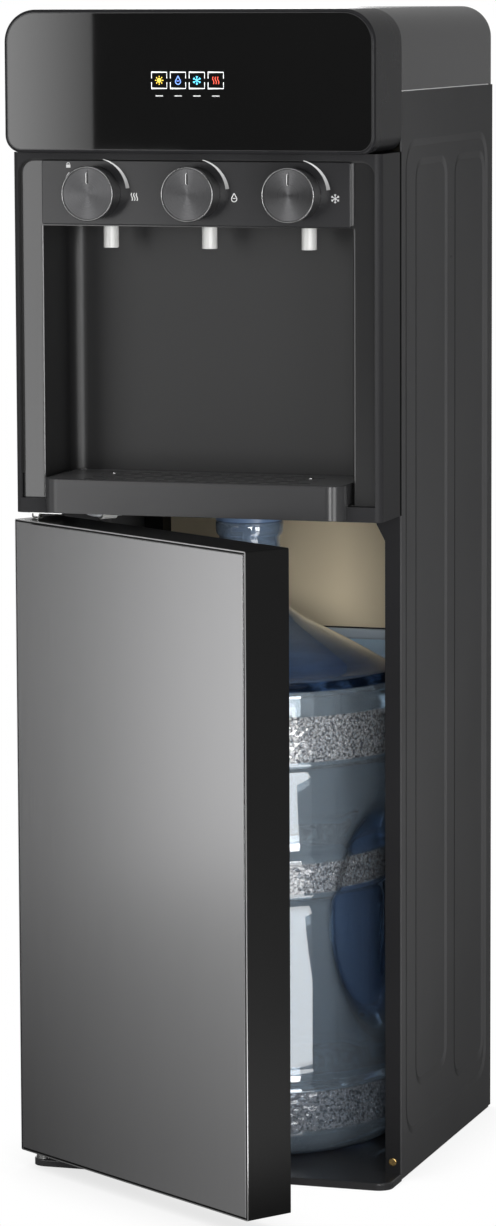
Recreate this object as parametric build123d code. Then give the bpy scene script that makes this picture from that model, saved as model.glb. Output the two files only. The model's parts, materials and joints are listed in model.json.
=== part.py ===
from build123d import *
import os

os.makedirs("parts", exist_ok=True)

# Frame: X to the right, Y to the back, Z up, origin on the floor under the middle of the base.

# Cabinet
body_width = 310.0
body_depth = 281.0
sheet = 1.2
floor_gap = 2.0
base_lip = 38.0
base_thick = 6.0
base_web = 3.0
base_rim = 6.0
base_rib = 3.0
base_corner = 12.0
base_edge = 1.5
pad_radius = 13.0
shelf_z = 549.0
shelf_thick = 2.0
seam_rise = 48.0
rear_flange = 12.0
touch_gap = 0.3

# Embossed fields of the side panels: distances from the panel's front edge and from the floor
emboss_depth = 0.8
emboss_slope = 82.0
field_front = 12.0
field_rear = 15.0
field_bottom = 32.0
field_top_gap = 39.0
field_corner = 26.0
inner_front = 44.0
inner_gap = 22.0
inner_rear = 6.0
inner_corner = 18.0
front_inner_bottom = 68.0
back_inner_bottom = 49.0
inner_top_gap = 16.0
dimple_radius = 1.6
dimple_drops = (107.0, 139.0)

# Pillars, posts and rear liner
pillar_width = 12.7
pillar_depth = 20.0
pillar_return = 10.0
gusset_reach = 7.2
gusset_height = 21.0
gusset_slope = 13.5
post_width = 17.0
post_depth = 23.0
liner_gap = 0.7
liner_thick = 3.0
liner_height = 131.0
bar_height = 9.0
bar_thick = 6.0
condenser_recess = 28.0
rear_panel_rise = 16.0

# Fascia, alcove and control panel
fascia_reach = 58.0
fascia_wall = 3.0
fascia_corner = 6.0
fascia_rim = 5.2
fascia_sill = 12.0
fascia_window_corner = 12.0
control_height = 59.0
flange_recess = 5.0
flange_thick = 3.0
alcove_side = 25.0
alcove_sill = 13.0
alcove_height = 220.0
alcove_depth = 73.0
alcove_wall = 2.5
alcove_corner = 12.0
alcove_lip = 2.0
panel_proud = 4.5
panel_corner = 2.0
panel_margin = 1.0

# Taps and knobs
knob_pitch = 84.0
knob_rise = 26.8
knob_radius = 22.2
knob_back_radius = 21.2
knob_reach = 78.0
knob_gap = 0.8
knob_rim = 1.6
knob_face_depth = 1.2
knob_edge = 0.8
pointer_length = 9.0
pointer_width = 1.4
shaft_radius = 3.0
shaft_grip = 12.0
shaft_clear = 0.05
shaft_hole_gap = 0.8
nozzle_setback = 38.0
nozzle_radius = 6.2
nozzle_bore = 4.0
nozzle_drop = 19.0
nozzle_flange_radius = 9.0
nozzle_flange_thick = 1.5
valve_half = 17.0
valve_height = 40.0
valve_depth = 45.0
valve_barrel_radius = 13.0

# Drip tray and grille
tray_side_gap = 3.0
tray_reach = 74.4
tray_tail = 12.0
tray_corner = 14.0
tray_rear_corner = 12.0
tray_height = 17.0
tray_apron_rise = 2.0
tray_wall = 2.4
tray_lift = 0.4
tray_edge = 1.2
tray_apron_gap = 0.6
grille_thick = 2.4
grille_sink = 0.6
grille_gap = 0.6
grille_ledge = 1.6
slot_length = 20.0
slot_width = 3.4
slot_pitch_x = 26.0
slot_pitch_y = 9.0
slot_margin = 6.0

# Head
head_reach = 74.4
head_height = 114.0
head_top_corner = 26.0
head_bottom_corner = 14.0
head_wall = 2.5
head_edge = 2.5
head_front = 6.0
display_inset = 2.2
display_gap = 0.2
display_thick = 2.8
icon_pitch = 15.75
icon_rise = 58.0
icon_size = 11.0
window_margin = 5.0
board_standoff = 4.0
board_standoff_radius = 3.0
board_thick = 1.6
board_half = 58.0
board_height = 44.0
cover_inset = 0.8
cover_wall = 2.5

# Door, drawn closed and then swung to its rest angle
door_side_gap = 1.1
door_top_gap = 7.3
door_thick = 43.4
door_bottom_z = 14.2
door_reach = 49.6
door_wall = 3.0
door_web = 2.0
door_panel_thick = 1.6
door_panel_inset = 2.2
door_panel_edge = 0.6
door_lip = 0.9
door_lip_rise = 1.0
door_liner_thick = 2.8
door_liner_margin = 26.0
door_liner_pan = 1.2
door_liner_slope = 30.0
door_open_deg = 34.5
hinge_inset_x = 8.0
hinge_inset_y = 17.2
pin_radius = 2.5
pin_clear = 0.05
bush_radius = 4.4
bush_length = 11.0
pin_shoulder_radius = 5.5
pin_collar_radius = 4.2
pin_collar_round = 1.5
pin_shoulder_gap = 0.3
pin_sink = 4.0
hinge_plate_thick = 2.5
hinge_plate_length = 30.0
hinge_plate_depth = 34.0
hinge_plate_margin = 9.0
magnet_length = 40.0
magnet_width = 8.0
magnet_thick = 5.0

# Bottle, probe and hose
bottle_front_reach = 1.0
bottle_rear_gap = 10.6
bottle_side_gap = 3.2
bottle_recess = 4.0
bottle_wall = 2.0
bottle_foot_inset = 21.0
bottle_foot_rise = 20.0
bottle_rings = (60.0, 220.0, 252.0)
bottle_top_ring = 62.0
bottle_slope = 6.0
bottle_shoulder_height = 48.0
bottle_shoulder_radius = 42.0
bottle_shoulder_neck = 20.0
bottle_neck_radius = 26.0
bottle_neck_length = 61.0
bottle_bead_radius = 28.6
bottle_bead_height = 11.0
bottle_top_gap = 6.0
bottle_mouth_radius = 22.0
water_drop = 6.0
water_gap = 0.3
probe_cap_height = 6.0
probe_skirt = 8.0
probe_skirt_gap = 0.1
spigot_size = 14.0
spigot_height = 10.0
probe_tube_radius = 6.0
probe_tube_wall = 1.0
probe_tube_bottom = 24.0
hose_radius = 4.5
hose_lead = 37.0
hose_sweep_bend = 36.0
hose_rise_bend = 22.0
hose_pump_bend = 20.0
hose_wall_gap = 12.2
hose_pass_gap = 3.5
hose_pass_shift = 2.5
clip_wall = 2.0
clip_length = 14.0
clip_distance = 16.0

# Machine room
cold_side_gap = 3.0
cold_rear_gap = 10.0
cold_radius = 52.0
cold_wall = 1.0
cold_height = 180.0
jacket_wall = 12.0
jacket_floor = 14.0
coil_radius = 3.0
coil_gap = 0.2
coil_turns = 8
coil_pitch = 14.0
coil_start = 24.0
hot_side_gap = 3.0
hot_rear_gap = 9.0
hot_radius = 46.0
hot_height = 130.0
hot_jacket_wall = 10.0
bracket_rise = 161.0
bracket_margin = 6.0
compressor_radius = 54.0
compressor_height = 126.0
compressor_dome = 30.0
compressor_foot = 3.0
compressor_foot_half = 52.0
grommet_height = 9.0
grommet_radius = 8.0
grommet_inset = 10.0
pump_run = 40.0
pump_setback = 44.0
pump_rise = 49.0
pump_head_radius = 22.0
pump_head_length = 34.0
pump_motor_radius = 18.0
pump_motor_length = 52.0
pump_port_radius = 4.0
pump_port_length = 8.0
pump_foot = 14.0
line_radius = 4.0
line_bend = 14.0

# Rear of the cabinet
tube_radius = 2.5
tube_passes = 11
tube_pass_pitch = 25.0
tube_rise = 39.0
tube_left = -128.0
tube_right = 76.0
wire_radius = 0.8
wire_gap = 0.05
wire_count = 26
wire_margin = 14.0
wire_overrun = 8.0
clip_radius = 4.0
service_x = 114.0
gland_rise = 34.0
gland_radius = 9.0
gland_bore = 3.75
gland_body = 7.0
gland_flange = 4.0
gland_length = 14.0
drain_gap = 5.0
drain_radius = 8.0
drain_bore = 5.0
drain_length = 18.0
drain_flange_radius = 13.0
drain_flange = 2.0
cap_wall = 3.0
cap_length = 15.0
cap_clear = 0.06
switch_drops = (39.0, 74.0)
switch_half_x = 7.5
switch_half_z = 11.5
switch_bezel = 2.0
switch_lip = 1.6
switch_body = 16.0
rocker_radius = 8.5
rocker_gap = 0.25
rocker_sink = 3.0
rocker_tilt = 8.0
rocker_slope = 12.0
main_board_half = 52.0
main_board_height = 84.0
main_board_x = -70.0
main_board_drop = 103.0
screw_radius = 3.4
screw_head = 1.6
screw_heights = (40.0, 260.0, 480.0, 620.0, 840.0)
earth_z = 15.4
earth_shank = 2.0
earth_length = 5.0

# Planes and levels that the pieces share
half = body_width / 2
inner = half - sheet
lining = inner - 2 * emboss_depth
y_front = -(body_depth + base_lip) / 2
y_panel = y_front + base_lip
y_back = y_panel + body_depth
y_rear_inside = y_back - 2 * sheet
y_fascia = y_panel - fascia_reach
y_flange = y_fascia + flange_recess
y_alcove = y_fascia + alcove_depth
y_control = y_flange - panel_proud
y_recess = y_back - condenser_recess
y_head = y_panel - head_reach
shelf_top = shelf_z + shelf_thick
alcove_floor_z = shelf_z + alcove_sill
alcove_top_z = alcove_floor_z + alcove_height
head_bottom_z = alcove_top_z + control_height
seam_z = head_bottom_z + seam_rise
top_z = head_bottom_z + head_height
icon_z = head_bottom_z + icon_rise
knob_z = alcove_top_z + knob_rise
nozzle_bottom_z = alcove_top_z - nozzle_drop
tray_top_z = alcove_floor_z + tray_height
tray_apron_z = shelf_z + tray_apron_rise
field_back = body_depth - field_rear
field_top = seam_z - field_top_gap
inner_width = (field_back - inner_rear - inner_gap - inner_front) / 2
inner_top = field_top - inner_top_gap
dimple_heights = [seam_z - drop for drop in dimple_drops]
liner_z = shelf_z - liner_height
bracket_z = shelf_top + bracket_rise
pump_z = shelf_top + pump_rise
tube_bottom_z = shelf_top + tube_rise
gland_z = shelf_top + gland_rise
drain_z = bracket_z + shelf_thick + drain_flange_radius + drain_gap
switch_heights = [seam_z - drop for drop in switch_drops]
main_board_z = seam_z - main_board_drop
liner_half = lining - post_width - liner_gap
alcove_half = half - alcove_side
tray_half = alcove_half - tray_side_gap
door_width = body_width - 2 * door_side_gap
bottle_radius = (body_depth - 2 * sheet - liner_thick - bottle_rear_gap + bottle_front_reach) / 2
bottle_x = bottle_radius + bottle_side_gap - lining
y_bottle = y_panel - bottle_front_reach + bottle_radius
hose_side = lining - hose_wall_gap
pump_x = pump_run - hose_side
jacket_inside = cold_radius + 2 * (coil_radius + coil_gap)
cold_reach = jacket_inside + jacket_wall
cold_x = cold_reach + cold_side_gap - lining
y_cold = y_recess - sheet - cold_rear_gap - cold_reach
hot_reach = hot_radius + hot_jacket_wall
hot_x = lining - hot_side_gap - hot_reach
y_hot = y_recess - switch_body - hot_rear_gap - hot_reach
earth_x = inner - pillar_width / 2
knob_places = {"hot": -knob_pitch, "normal": 0.0, "cold": knob_pitch}
hinge_x = -door_width / 2 + hinge_inset_x
hinge_y = y_panel - door_reach + hinge_inset_y
door_top_z = shelf_z - door_top_gap
door_height = door_top_z - door_bottom_z
bottle_height = shelf_z - bottle_top_gap - spigot_height - probe_cap_height - base_thick
bottle_neck_z = bottle_height - bottle_neck_length
bottle_shoulder_top = bottle_neck_z - bottle_shoulder_neck
bottle_shoulder_z = bottle_shoulder_top - bottle_shoulder_height
water_level = bottle_shoulder_z - water_drop
y_nozzle = y_fascia + nozzle_setback


# Shared shapes

def span(x0, x1, y0, y1, z0, z1):
    return Pos((x0 + x1) / 2, (y0 + y1) / 2, (z0 + z1) / 2) * Box(x1 - x0, y1 - y0, z1 - z0)


def rod_y(radius, x, z, y0, y1):
    return Pos(x, (y0 + y1) / 2, z) * Rot(90, 0, 0) * Cylinder(radius, y1 - y0)


def rod_z(radius, x, y, z0, z1):
    return Pos(x, y, (z0 + z1) / 2) * Cylinder(radius, z1 - z0)


def rod_x(radius, y, z, x0, x1):
    return Pos((x0 + x1) / 2, y, z) * Rot(0, 90, 0) * Cylinder(radius, x1 - x0)


def slab_y(outline, y0, y1):
    # An outline drawn in X and Z, made into a slab between two Y planes
    return extrude(Plane.XZ.offset(-y1) * outline, amount=y1 - y0)


def window(half_x, z0, z1, top_corner, bottom_corner):
    # A rectangle in X and Z, its upper and lower corners rounded apart
    outline = Pos(0, (z0 + z1) / 2) * Rectangle(2 * half_x, z1 - z0)
    corners = outline.vertices().group_by(Axis.Y)
    if top_corner:
        outline = fillet(corners[-1], top_corner)
        corners = outline.vertices().group_by(Axis.Y)
    if bottom_corner:
        outline = fillet(corners[0], bottom_corner)
    return outline


def head_outline(inset):
    return window(
        half - inset,
        head_bottom_z + inset,
        top_z - inset,
        head_top_corner - inset,
        head_bottom_corner - inset,
    )


def pipe(radius, bend, *points):
    path = FilletPolyline(*points, radius=bend)
    start = Plane(path @ 0, z_dir=path % 0)
    return sweep(start * Circle(radius), path=path)


def both_sides(right):
    return [right, mirror(right, Plane.YZ)]


# Cabinet

def base_tray():
    body = span(-inner, inner, y_panel, y_rear_inside, 0, base_thick)
    lip = span(-half, half, y_front, y_panel, 0, base_thick)
    lip = fillet(lip.edges().filter_by(Axis.Z).group_by(Axis.Y)[0], base_corner)
    tray = body + lip
    top_front = tray.faces().sort_by(Axis.Z)[-1].edges().group_by(Axis.Y)[0]
    tray = fillet(top_front, base_edge)
    for side in (-1, 1):
        for y0, y1 in ((y_panel, -base_rib / 2), (base_rib / 2, y_rear_inside)):
            x0, x1 = sorted((side * base_rib / 2, side * (inner - base_rim)))
            y0 = y0 + base_rim if y0 == y_panel else y0
            y1 = y1 - base_rim if y1 == y_rear_inside else y1
            tray -= span(x0, x1, y0, y1, -1, base_thick - base_web)
    tray -= rod_z(pin_radius + pin_clear, hinge_x, hinge_y, base_thick - pin_sink, base_thick + 1)
    return tray


def foot_pads():
    x = inner - base_rim - pad_radius - 2 * touch_gap
    y0 = y_panel + base_rim + pad_radius + 2 * touch_gap
    y1 = y_rear_inside - base_rim - pad_radius - 2 * touch_gap
    places = [(sx * x, y) for sx in (-1, 1) for y in (y0, y1)]
    return [rod_z(pad_radius, px, py, 0, base_thick - base_web) for px, py in places]


def emboss_outlines():
    # Each row: front, back, bottom, top, corner radius and depth of its floor
    second = inner_front + inner_width + inner_gap
    return (
        (field_front, field_back, field_bottom, field_top, field_corner, 0.0),
        (inner_front, inner_front + inner_width, front_inner_bottom, inner_top, inner_corner, emboss_depth),
        (second, second + inner_width, back_inner_bottom, inner_top, inner_corner, emboss_depth),
    )


def side_panel():
    panel = span(inner, half, y_panel, y_back, floor_gap, seam_z)
    panel += span(inner - rear_flange, inner, y_back - sheet, y_back, floor_gap, shelf_z)
    for front, back, bottom, top, corner, floor in emboss_outlines():
        outline = RectangleRounded(back - front, top - bottom, corner)
        middle = (y_panel + (front + back) / 2, (bottom + top) / 2)
        skin = Plane((inner - floor, *middle), x_dir=(0, 1, 0), z_dir=(-1, 0, 0))
        face = Plane((half - floor, *middle), x_dir=(0, 1, 0), z_dir=(-1, 0, 0))
        panel += extrude(skin * outline, amount=emboss_depth, taper=emboss_slope)
        panel -= extrude(face * outline, amount=emboss_depth, taper=emboss_slope)
    rib_y = y_panel + inner_front + inner_width + inner_gap / 2
    for z in dimple_heights:
        panel -= rod_x(dimple_radius, rib_y, z, half - emboss_depth - sheet / 2, half)
    return panel


def front_pillars():
    x0 = inner - pillar_width
    channel = span(x0, inner, y_panel, y_panel + sheet, base_thick, shelf_z)
    channel += span(x0, x0 + sheet, y_panel, y_panel + pillar_depth, base_thick, shelf_z)
    channel += span(inner - sheet, inner, y_panel, y_panel + pillar_return, base_thick, shelf_z)
    corner = Polyline(
        (x0, shelf_z - gusset_height),
        (x0 - gusset_reach, shelf_z - gusset_height + gusset_slope),
        (x0 - gusset_reach, shelf_z),
        (x0, shelf_z),
        close=True,
    )
    channel += slab_y(make_face(corner), y_panel, y_panel + sheet)
    pair = both_sides(channel)
    pair[0] -= rod_y(earth_shank + pin_clear, earth_x, earth_z, y_panel - 1, y_panel + 2 * sheet)
    return pair


def rear_corner_posts():
    x1 = lining
    x0 = x1 - post_width
    y0 = y_rear_inside - post_depth
    post = span(x0, x1, y0, y0 + sheet, base_thick, shelf_z)
    post += span(x0, x0 + sheet, y0, y_rear_inside, base_thick, shelf_z)
    return both_sides(post)


def mid_shelf():
    shelf = span(-lining, lining, y_panel, y_rear_inside, shelf_z, shelf_top)
    corner, along = hose_corner()
    centre = corner - along * hose_pass_shift
    return shelf - rod_z(hose_radius + hose_pass_gap, centre.X, centre.Y, shelf_z - 1, shelf_top + 1)


def rear_panel_lower():
    return span(-lining, lining, y_rear_inside, y_back - sheet, floor_gap, shelf_z)


def rear_liner():
    return span(-liner_half, liner_half, y_rear_inside - liner_thick, y_rear_inside, liner_z, shelf_z)


def liner_edge_bar():
    y0 = y_rear_inside - bar_thick
    bar = span(-liner_half, liner_half, y0, y_rear_inside, liner_z - bar_height, liner_z)
    return fillet(bar.edges().filter_by(Axis.X).group_by(Axis.Y)[0], bar_thick / 3)


def rear_panel_upper():
    panel = span(-lining, lining, y_recess - sheet, y_recess, shelf_top, seam_z)
    tongue = half - cover_inset - cover_wall - touch_gap
    panel += span(-tongue, tongue, y_recess - sheet, y_recess, seam_z, seam_z + rear_panel_rise)
    for x in (tube_left + wire_margin, tube_right - wire_margin):
        for z in (tube_bottom_z, tube_bottom_z + (tube_passes - 1) * tube_pass_pitch):
            panel += rod_y(clip_radius, x, z, y_recess, condenser_y() - tube_radius - wire_gap)
    for x in (-1, 1):
        for z in (main_board_z, main_board_z + main_board_height):
            place = main_board_x + x * (main_board_half - board_standoff_radius)
            z_in = z + board_standoff_radius if z == main_board_z else z - board_standoff_radius
            panel += rod_y(board_standoff_radius, place, z_in, y_recess - sheet - board_standoff, y_recess)
    panel -= rod_y(gland_body, service_x, gland_z, y_recess - 2 * sheet, y_recess + sheet)
    panel -= rod_y(drain_radius, service_x, drain_z, y_recess - 2 * sheet, y_recess + sheet)
    for z in switch_heights:
        panel -= switch_hole(z, y_recess - 2 * sheet, y_recess + sheet)
    return panel


def top_cover():
    y1 = y_back
    side = half - cover_inset

    def arch(inset, bottom):
        return window(side - inset, bottom, top_z - inset, head_top_corner - inset, 0)

    shell = slab_y(arch(0, seam_z), y_panel, y1)
    back_edges = shell.faces().sort_by(Axis.Y)[-1].edges().sort_by(Axis.Z)[1:]
    shell = fillet(back_edges, head_edge)
    return shell - slab_y(arch(cover_wall, seam_z - 1), y_panel - 1, y1 - cover_wall)


# Front

def front_fascia():
    body = span(-half, half, y_fascia, y_panel, shelf_z, head_bottom_z)
    body = fillet(body.edges().filter_by(Axis.Z).group_by(Axis.Y)[0], fascia_corner)
    body -= span(
        -half + fascia_wall,
        half - fascia_wall,
        y_fascia + fascia_wall,
        y_panel + 1,
        shelf_z + fascia_wall,
        head_bottom_z - fascia_wall,
    )
    rim = window(
        half - fascia_rim,
        shelf_z + fascia_sill,
        head_bottom_z - fascia_rim,
        fascia_window_corner,
        0,
    )
    return body - slab_y(rim, y_fascia - 1, y_fascia + 2 * fascia_wall)


def alcove_liner():
    x = half - fascia_wall
    liner = span(-x, x, y_flange, y_flange + flange_thick, shelf_z + fascia_wall, head_bottom_z - fascia_wall)
    liner += span(
        -alcove_half - alcove_wall,
        alcove_half + alcove_wall,
        y_flange,
        y_alcove + alcove_wall,
        alcove_floor_z - alcove_wall,
        alcove_top_z + alcove_wall,
    )
    cavity = span(-alcove_half, alcove_half, y_flange, y_alcove, alcove_floor_z, alcove_top_z)
    cavity = fillet(cavity.edges().filter_by(Axis.Z).group_by(Axis.Y)[-1], alcove_corner)
    liner -= cavity
    sides = [
        edge
        for edge in liner.faces().sort_by(Axis.Y)[0].edges().filter_by(Axis.Z)
        if abs(abs(edge.center().X) - alcove_half) < touch_gap
    ]
    liner = fillet(sides, alcove_lip)
    for x in knob_places.values():
        liner -= rod_y(shaft_radius + shaft_hole_gap, x, knob_z, y_flange - 1, y_flange + 2 * flange_thick)
        liner -= rod_z(nozzle_radius, x, y_nozzle, alcove_top_z - 1, alcove_top_z + 2 * alcove_wall)
    return liner


def control_panel():
    z0 = alcove_top_z + panel_margin
    z1 = head_bottom_z - fascia_rim - panel_margin
    plate = slab_y(window(alcove_half, z0, z1, panel_corner, panel_corner), y_control, y_flange)
    plate = fillet(plate.faces().sort_by(Axis.Y)[0].edges(), panel_margin)
    for x in knob_places.values():
        plate -= rod_y(shaft_radius + shaft_hole_gap, x, knob_z, y_control - 1, y_flange + 1)
    return plate


def head_frame():
    shell = slab_y(head_outline(0), y_head, y_panel)
    shell = fillet(shell.faces().sort_by(Axis.Y)[0].edges(), head_edge)
    shell -= slab_y(head_outline(head_wall), y_head + head_front, y_panel + 1)
    shell -= slab_y(head_outline(display_inset), y_head - 1, y_head + display_thick + display_gap)
    z0 = icon_z - icon_size / 2 - window_margin
    z1 = icon_z + icon_size / 2 + window_margin
    reach = 2 * icon_pitch + window_margin
    shell -= span(-reach, reach, y_head, y_head + 2 * head_front, z0, z1)
    y0 = y_head + head_front
    for x in (-1, 1):
        for z in (-1, 1):
            place = x * (board_half - 2 * board_standoff_radius)
            z_place = icon_z + z * (board_height / 2 - 2 * board_standoff_radius)
            shell += rod_y(board_standoff_radius, place, z_place, y0, y0 + board_standoff)
    return shell


def display_plate():
    y0 = y_head + display_gap
    return slab_y(head_outline(display_inset + display_gap), y0, y0 + display_thick)


def display_board():
    # Board with one square lamp behind each indicator
    y0 = y_head + head_front + board_standoff
    z0 = icon_z - board_height / 2
    board = span(-board_half, board_half, y0, y0 + board_thick, z0, z0 + board_height)
    lamp = icon_size / 2
    for place in (-1.5, -0.5, 0.5, 1.5):
        x = place * icon_pitch
        board += span(x - lamp, x + lamp, y0 - board_standoff, y0, icon_z - lamp, icon_z + lamp)
    return board


# Taps

def knob(x):
    y0 = y_panel - knob_reach
    y1 = y_control - knob_gap
    body = Pos(x, (y0 + y1) / 2, knob_z) * Rot(90, 0, 0) * Cone(knob_back_radius, knob_radius, y1 - y0)
    body = fillet(body.edges().group_by(Axis.Y)[0], knob_edge)
    body -= rod_y(knob_radius - knob_rim, x, knob_z, y0 - 1, y0 + knob_face_depth)
    grip_end = y_flange + flange_thick + shaft_grip - knob_gap
    return body + rod_y(shaft_radius, x, knob_z, y1 - 1, grip_end)


def knob_face(x):
    y0 = y_panel - knob_reach
    y1 = y0 + knob_face_depth
    radius = knob_radius - knob_rim - touch_gap
    face = rod_y(radius, x, knob_z, y1 - knob_face_depth / 2, y1)
    top = knob_z + radius - knob_rim
    pointer = span(
        x - pointer_width / 2,
        x + pointer_width / 2,
        y0,
        y1 - knob_face_depth / 2,
        top - pointer_length,
        top,
    )
    return face + pointer


def valve(x):
    y0 = y_flange + flange_thick
    z0 = alcove_top_z + alcove_wall + nozzle_flange_thick
    body = span(x - valve_half, x + valve_half, y0, y0 + valve_depth, z0, z0 + valve_height)
    body = fillet(body.edges().filter_by(Axis.Y), valve_half / 4)
    body += rod_y(valve_barrel_radius, x, knob_z, y0 + valve_depth, y0 + valve_depth + valve_half)
    return body - rod_y(shaft_radius + shaft_clear, x, knob_z, y0 - 1, y0 + shaft_grip)


def nozzle(x):
    z1 = alcove_top_z + alcove_wall
    tube = rod_z(nozzle_radius, x, y_nozzle, nozzle_bottom_z, z1)
    tube = fillet(tube.edges().group_by(Axis.Z)[0], panel_margin / 2)
    tube += rod_z(nozzle_flange_radius, x, y_nozzle, z1, z1 + nozzle_flange_thick)
    return tube - rod_z(nozzle_bore, x, y_nozzle, nozzle_bottom_z - 1, z1)


# Drip tray

def tray_plan(inset, z0, z1):
    y0 = y_panel - tray_reach + inset
    y1 = y_panel + tray_tail - inset
    block = span(-tray_half + inset, tray_half - inset, y0, y1, z0, z1)
    block = fillet(block.edges().filter_by(Axis.Z).group_by(Axis.Y)[0], tray_corner - inset)
    return fillet(block.edges().filter_by(Axis.Z).group_by(Axis.Y)[-1], tray_rear_corner - inset)


def drip_tray():
    z0 = alcove_floor_z + tray_lift
    tray = tray_plan(0, tray_apron_z, tray_top_z)
    y_apron = y_fascia - tray_apron_gap
    tray -= span(-half, half, y_apron, y_panel + half, tray_apron_z - 1, z0)
    rim = tray.faces().sort_by(Axis.Z)[-1].edges()
    tray = fillet(rim, tray_edge)
    tray -= tray_plan(tray_wall, z0 + tray_wall, tray_top_z - grille_thick - grille_sink)
    return tray - tray_plan(tray_wall - grille_ledge, tray_top_z - grille_thick - grille_sink, tray_top_z + 1)


def drip_grille():
    z1 = tray_top_z - grille_sink
    inset = tray_wall - grille_ledge + grille_gap
    plate = tray_plan(inset, z1 - grille_thick, z1)
    y0 = y_panel - tray_reach + inset + slot_margin
    y1 = y_panel + tray_tail - inset - slot_margin
    rows = int((y1 - y0) // slot_pitch_y)
    usable = tray_half - inset - slot_margin - tray_corner / 2
    for row in range(rows):
        y = y0 + (row + 0.5) * (y1 - y0) / rows
        shift = slot_pitch_x / 4 * (1 if row % 2 else -1)
        count = int((usable - slot_length / 2 - slot_pitch_x / 4) // slot_pitch_x)
        places = [
            Pos(n * slot_pitch_x + shift, y) * SlotOverall(slot_length, slot_width)
            for n in range(-count, count + 1)
        ]
        plate -= extrude(Plane.XY.offset(z1 - 2 * grille_thick) * Sketch(places), amount=3 * grille_thick)
    return plate


# Door, closed

def swing(piece):
    return piece.rotate(Axis((hinge_x, hinge_y, 0), (0, 0, 1)), -door_open_deg)


def door_frame():
    x = door_width / 2
    y0 = y_panel - door_reach + door_panel_thick
    y1 = y_panel - door_reach + door_thick
    tub = span(-x, x, y0 - door_lip_rise, y1, door_bottom_z, door_top_z)
    tub = fillet(tub.edges().filter_by(Axis.Y), base_edge)
    tub -= span(
        -x + door_lip,
        x - door_lip,
        y0 - 2 * door_lip_rise,
        y0,
        door_bottom_z + door_lip,
        door_top_z - door_lip,
    )
    tub -= span(
        -x + door_wall,
        x - door_wall,
        y0 + door_web,
        y1 + 1,
        door_bottom_z + door_wall,
        door_top_z - door_wall,
    )
    return tub - rod_z(bush_radius, hinge_x, hinge_y, 0, shelf_z)


def door_panel():
    x = door_width / 2 - door_panel_inset
    y0 = y_panel - door_reach
    panel = span(
        -x,
        x,
        y0,
        y0 + door_panel_thick,
        door_bottom_z + door_panel_inset,
        door_top_z - door_panel_inset,
    )
    return chamfer(panel.faces().sort_by(Axis.Y)[0].edges(), door_panel_edge)


def door_liner():
    x = door_width / 2 - door_wall
    y1 = y_panel - door_reach + door_thick
    y0 = y1 - door_liner_thick
    z0 = door_bottom_z + door_wall
    z1 = door_top_z - door_wall
    liner = span(-x, x, y0, y1, z0, z1)
    pan = RectangleRounded(
        2 * (x - door_liner_margin),
        z1 - z0 - 2 * door_liner_margin,
        door_liner_margin / 2,
    )
    face = Plane((0, y1, (z0 + z1) / 2), x_dir=(1, 0, 0), z_dir=(0, -1, 0))
    return liner - extrude(face * pan, amount=door_liner_pan, taper=door_liner_slope)


def door_bushes():
    bushes = []
    for z0 in (door_bottom_z, door_top_z - bush_length):
        bush = rod_z(bush_radius, hinge_x, hinge_y, z0, z0 + bush_length)
        bushes.append(bush - rod_z(pin_radius + pin_clear, hinge_x, hinge_y, z0 - 1, z0 + bush_length + 1))
    return bushes


def door_magnets():
    x1 = door_width / 2 - door_wall
    y1 = y_panel - door_reach + door_thick - door_liner_thick
    middle = (door_bottom_z + door_top_z) / 2
    bars = []
    for z in (middle + door_height / 4, middle - door_height / 4):
        bars.append(
            span(x1 - magnet_width, x1, y1 - magnet_thick, y1, z - magnet_length / 2, z + magnet_length / 2)
        )
    return bars


def top_hinge():
    z0 = shelf_z - hinge_plate_thick
    x0 = hinge_x - hinge_plate_margin / 2
    y0 = hinge_y - hinge_plate_margin
    plate = span(x0, x0 + hinge_plate_length, y0, y0 + hinge_plate_depth, z0, shelf_z)
    plate = fillet(plate.edges().filter_by(Axis.Z), base_edge)
    collar = rod_z(pin_collar_radius, hinge_x, hinge_y, door_top_z + pin_shoulder_gap, z0)
    collar = fillet(collar.edges().sort_by(Axis.Z)[0], pin_collar_round)
    return plate + collar + rod_z(pin_radius, hinge_x, hinge_y, door_top_z - bush_length, z0)


def bottom_hinge():
    shoulder = door_bottom_z - pin_shoulder_gap
    pin = rod_z(pin_shoulder_radius, hinge_x, hinge_y, base_thick, shoulder)
    return pin + rod_z(pin_radius, hinge_x, hinge_y, base_thick - pin_sink, shoulder + bush_length)


# Bottle, probe and hose

def bottle_profile(inset):
    # Half section of the bottle, from its foot to the top of the neck, moved inwards by the inset
    z0 = base_thick
    full = bottle_radius - inset
    waist = full - bottle_recess
    waists = []
    first, second, third = bottle_rings
    for low, high in ((first, second), (third, bottle_shoulder_z - bottle_top_ring)):
        waists += [
            (full, z0 + low),
            (waist, z0 + low + bottle_slope),
            (waist, z0 + high - bottle_slope),
            (full, z0 + high),
        ]
    return [
        (0, z0 + inset),
        (full - bottle_foot_inset, z0 + inset),
        (full, z0 + bottle_foot_rise + inset / 2),
        *waists,
        (full, z0 + bottle_shoulder_z),
        (full - bottle_foot_rise, z0 + bottle_shoulder_z + bottle_foot_rise / 2 - inset),
        (bottle_shoulder_radius - inset, z0 + bottle_shoulder_top - inset),
        (bottle_neck_radius - inset, z0 + bottle_neck_z - inset),
    ]


def turned(points):
    half_section = make_face(Polyline(*points, close=True))
    solid = revolve(Plane.XZ * half_section, Axis.Z)
    return Pos(bottle_x, y_bottle, 0) * solid


def water_bottle():
    top = base_thick + bottle_height
    bead = top - bottle_bead_height
    outer = bottle_profile(0) + [
        (bottle_neck_radius, bead),
        (bottle_bead_radius, bead),
        (bottle_bead_radius, top),
        (0, top),
    ]
    hollow = bottle_profile(bottle_wall) + [(bottle_mouth_radius, top + 1), (0, top + 1)]
    return turned(outer) - turned(hollow)


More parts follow.
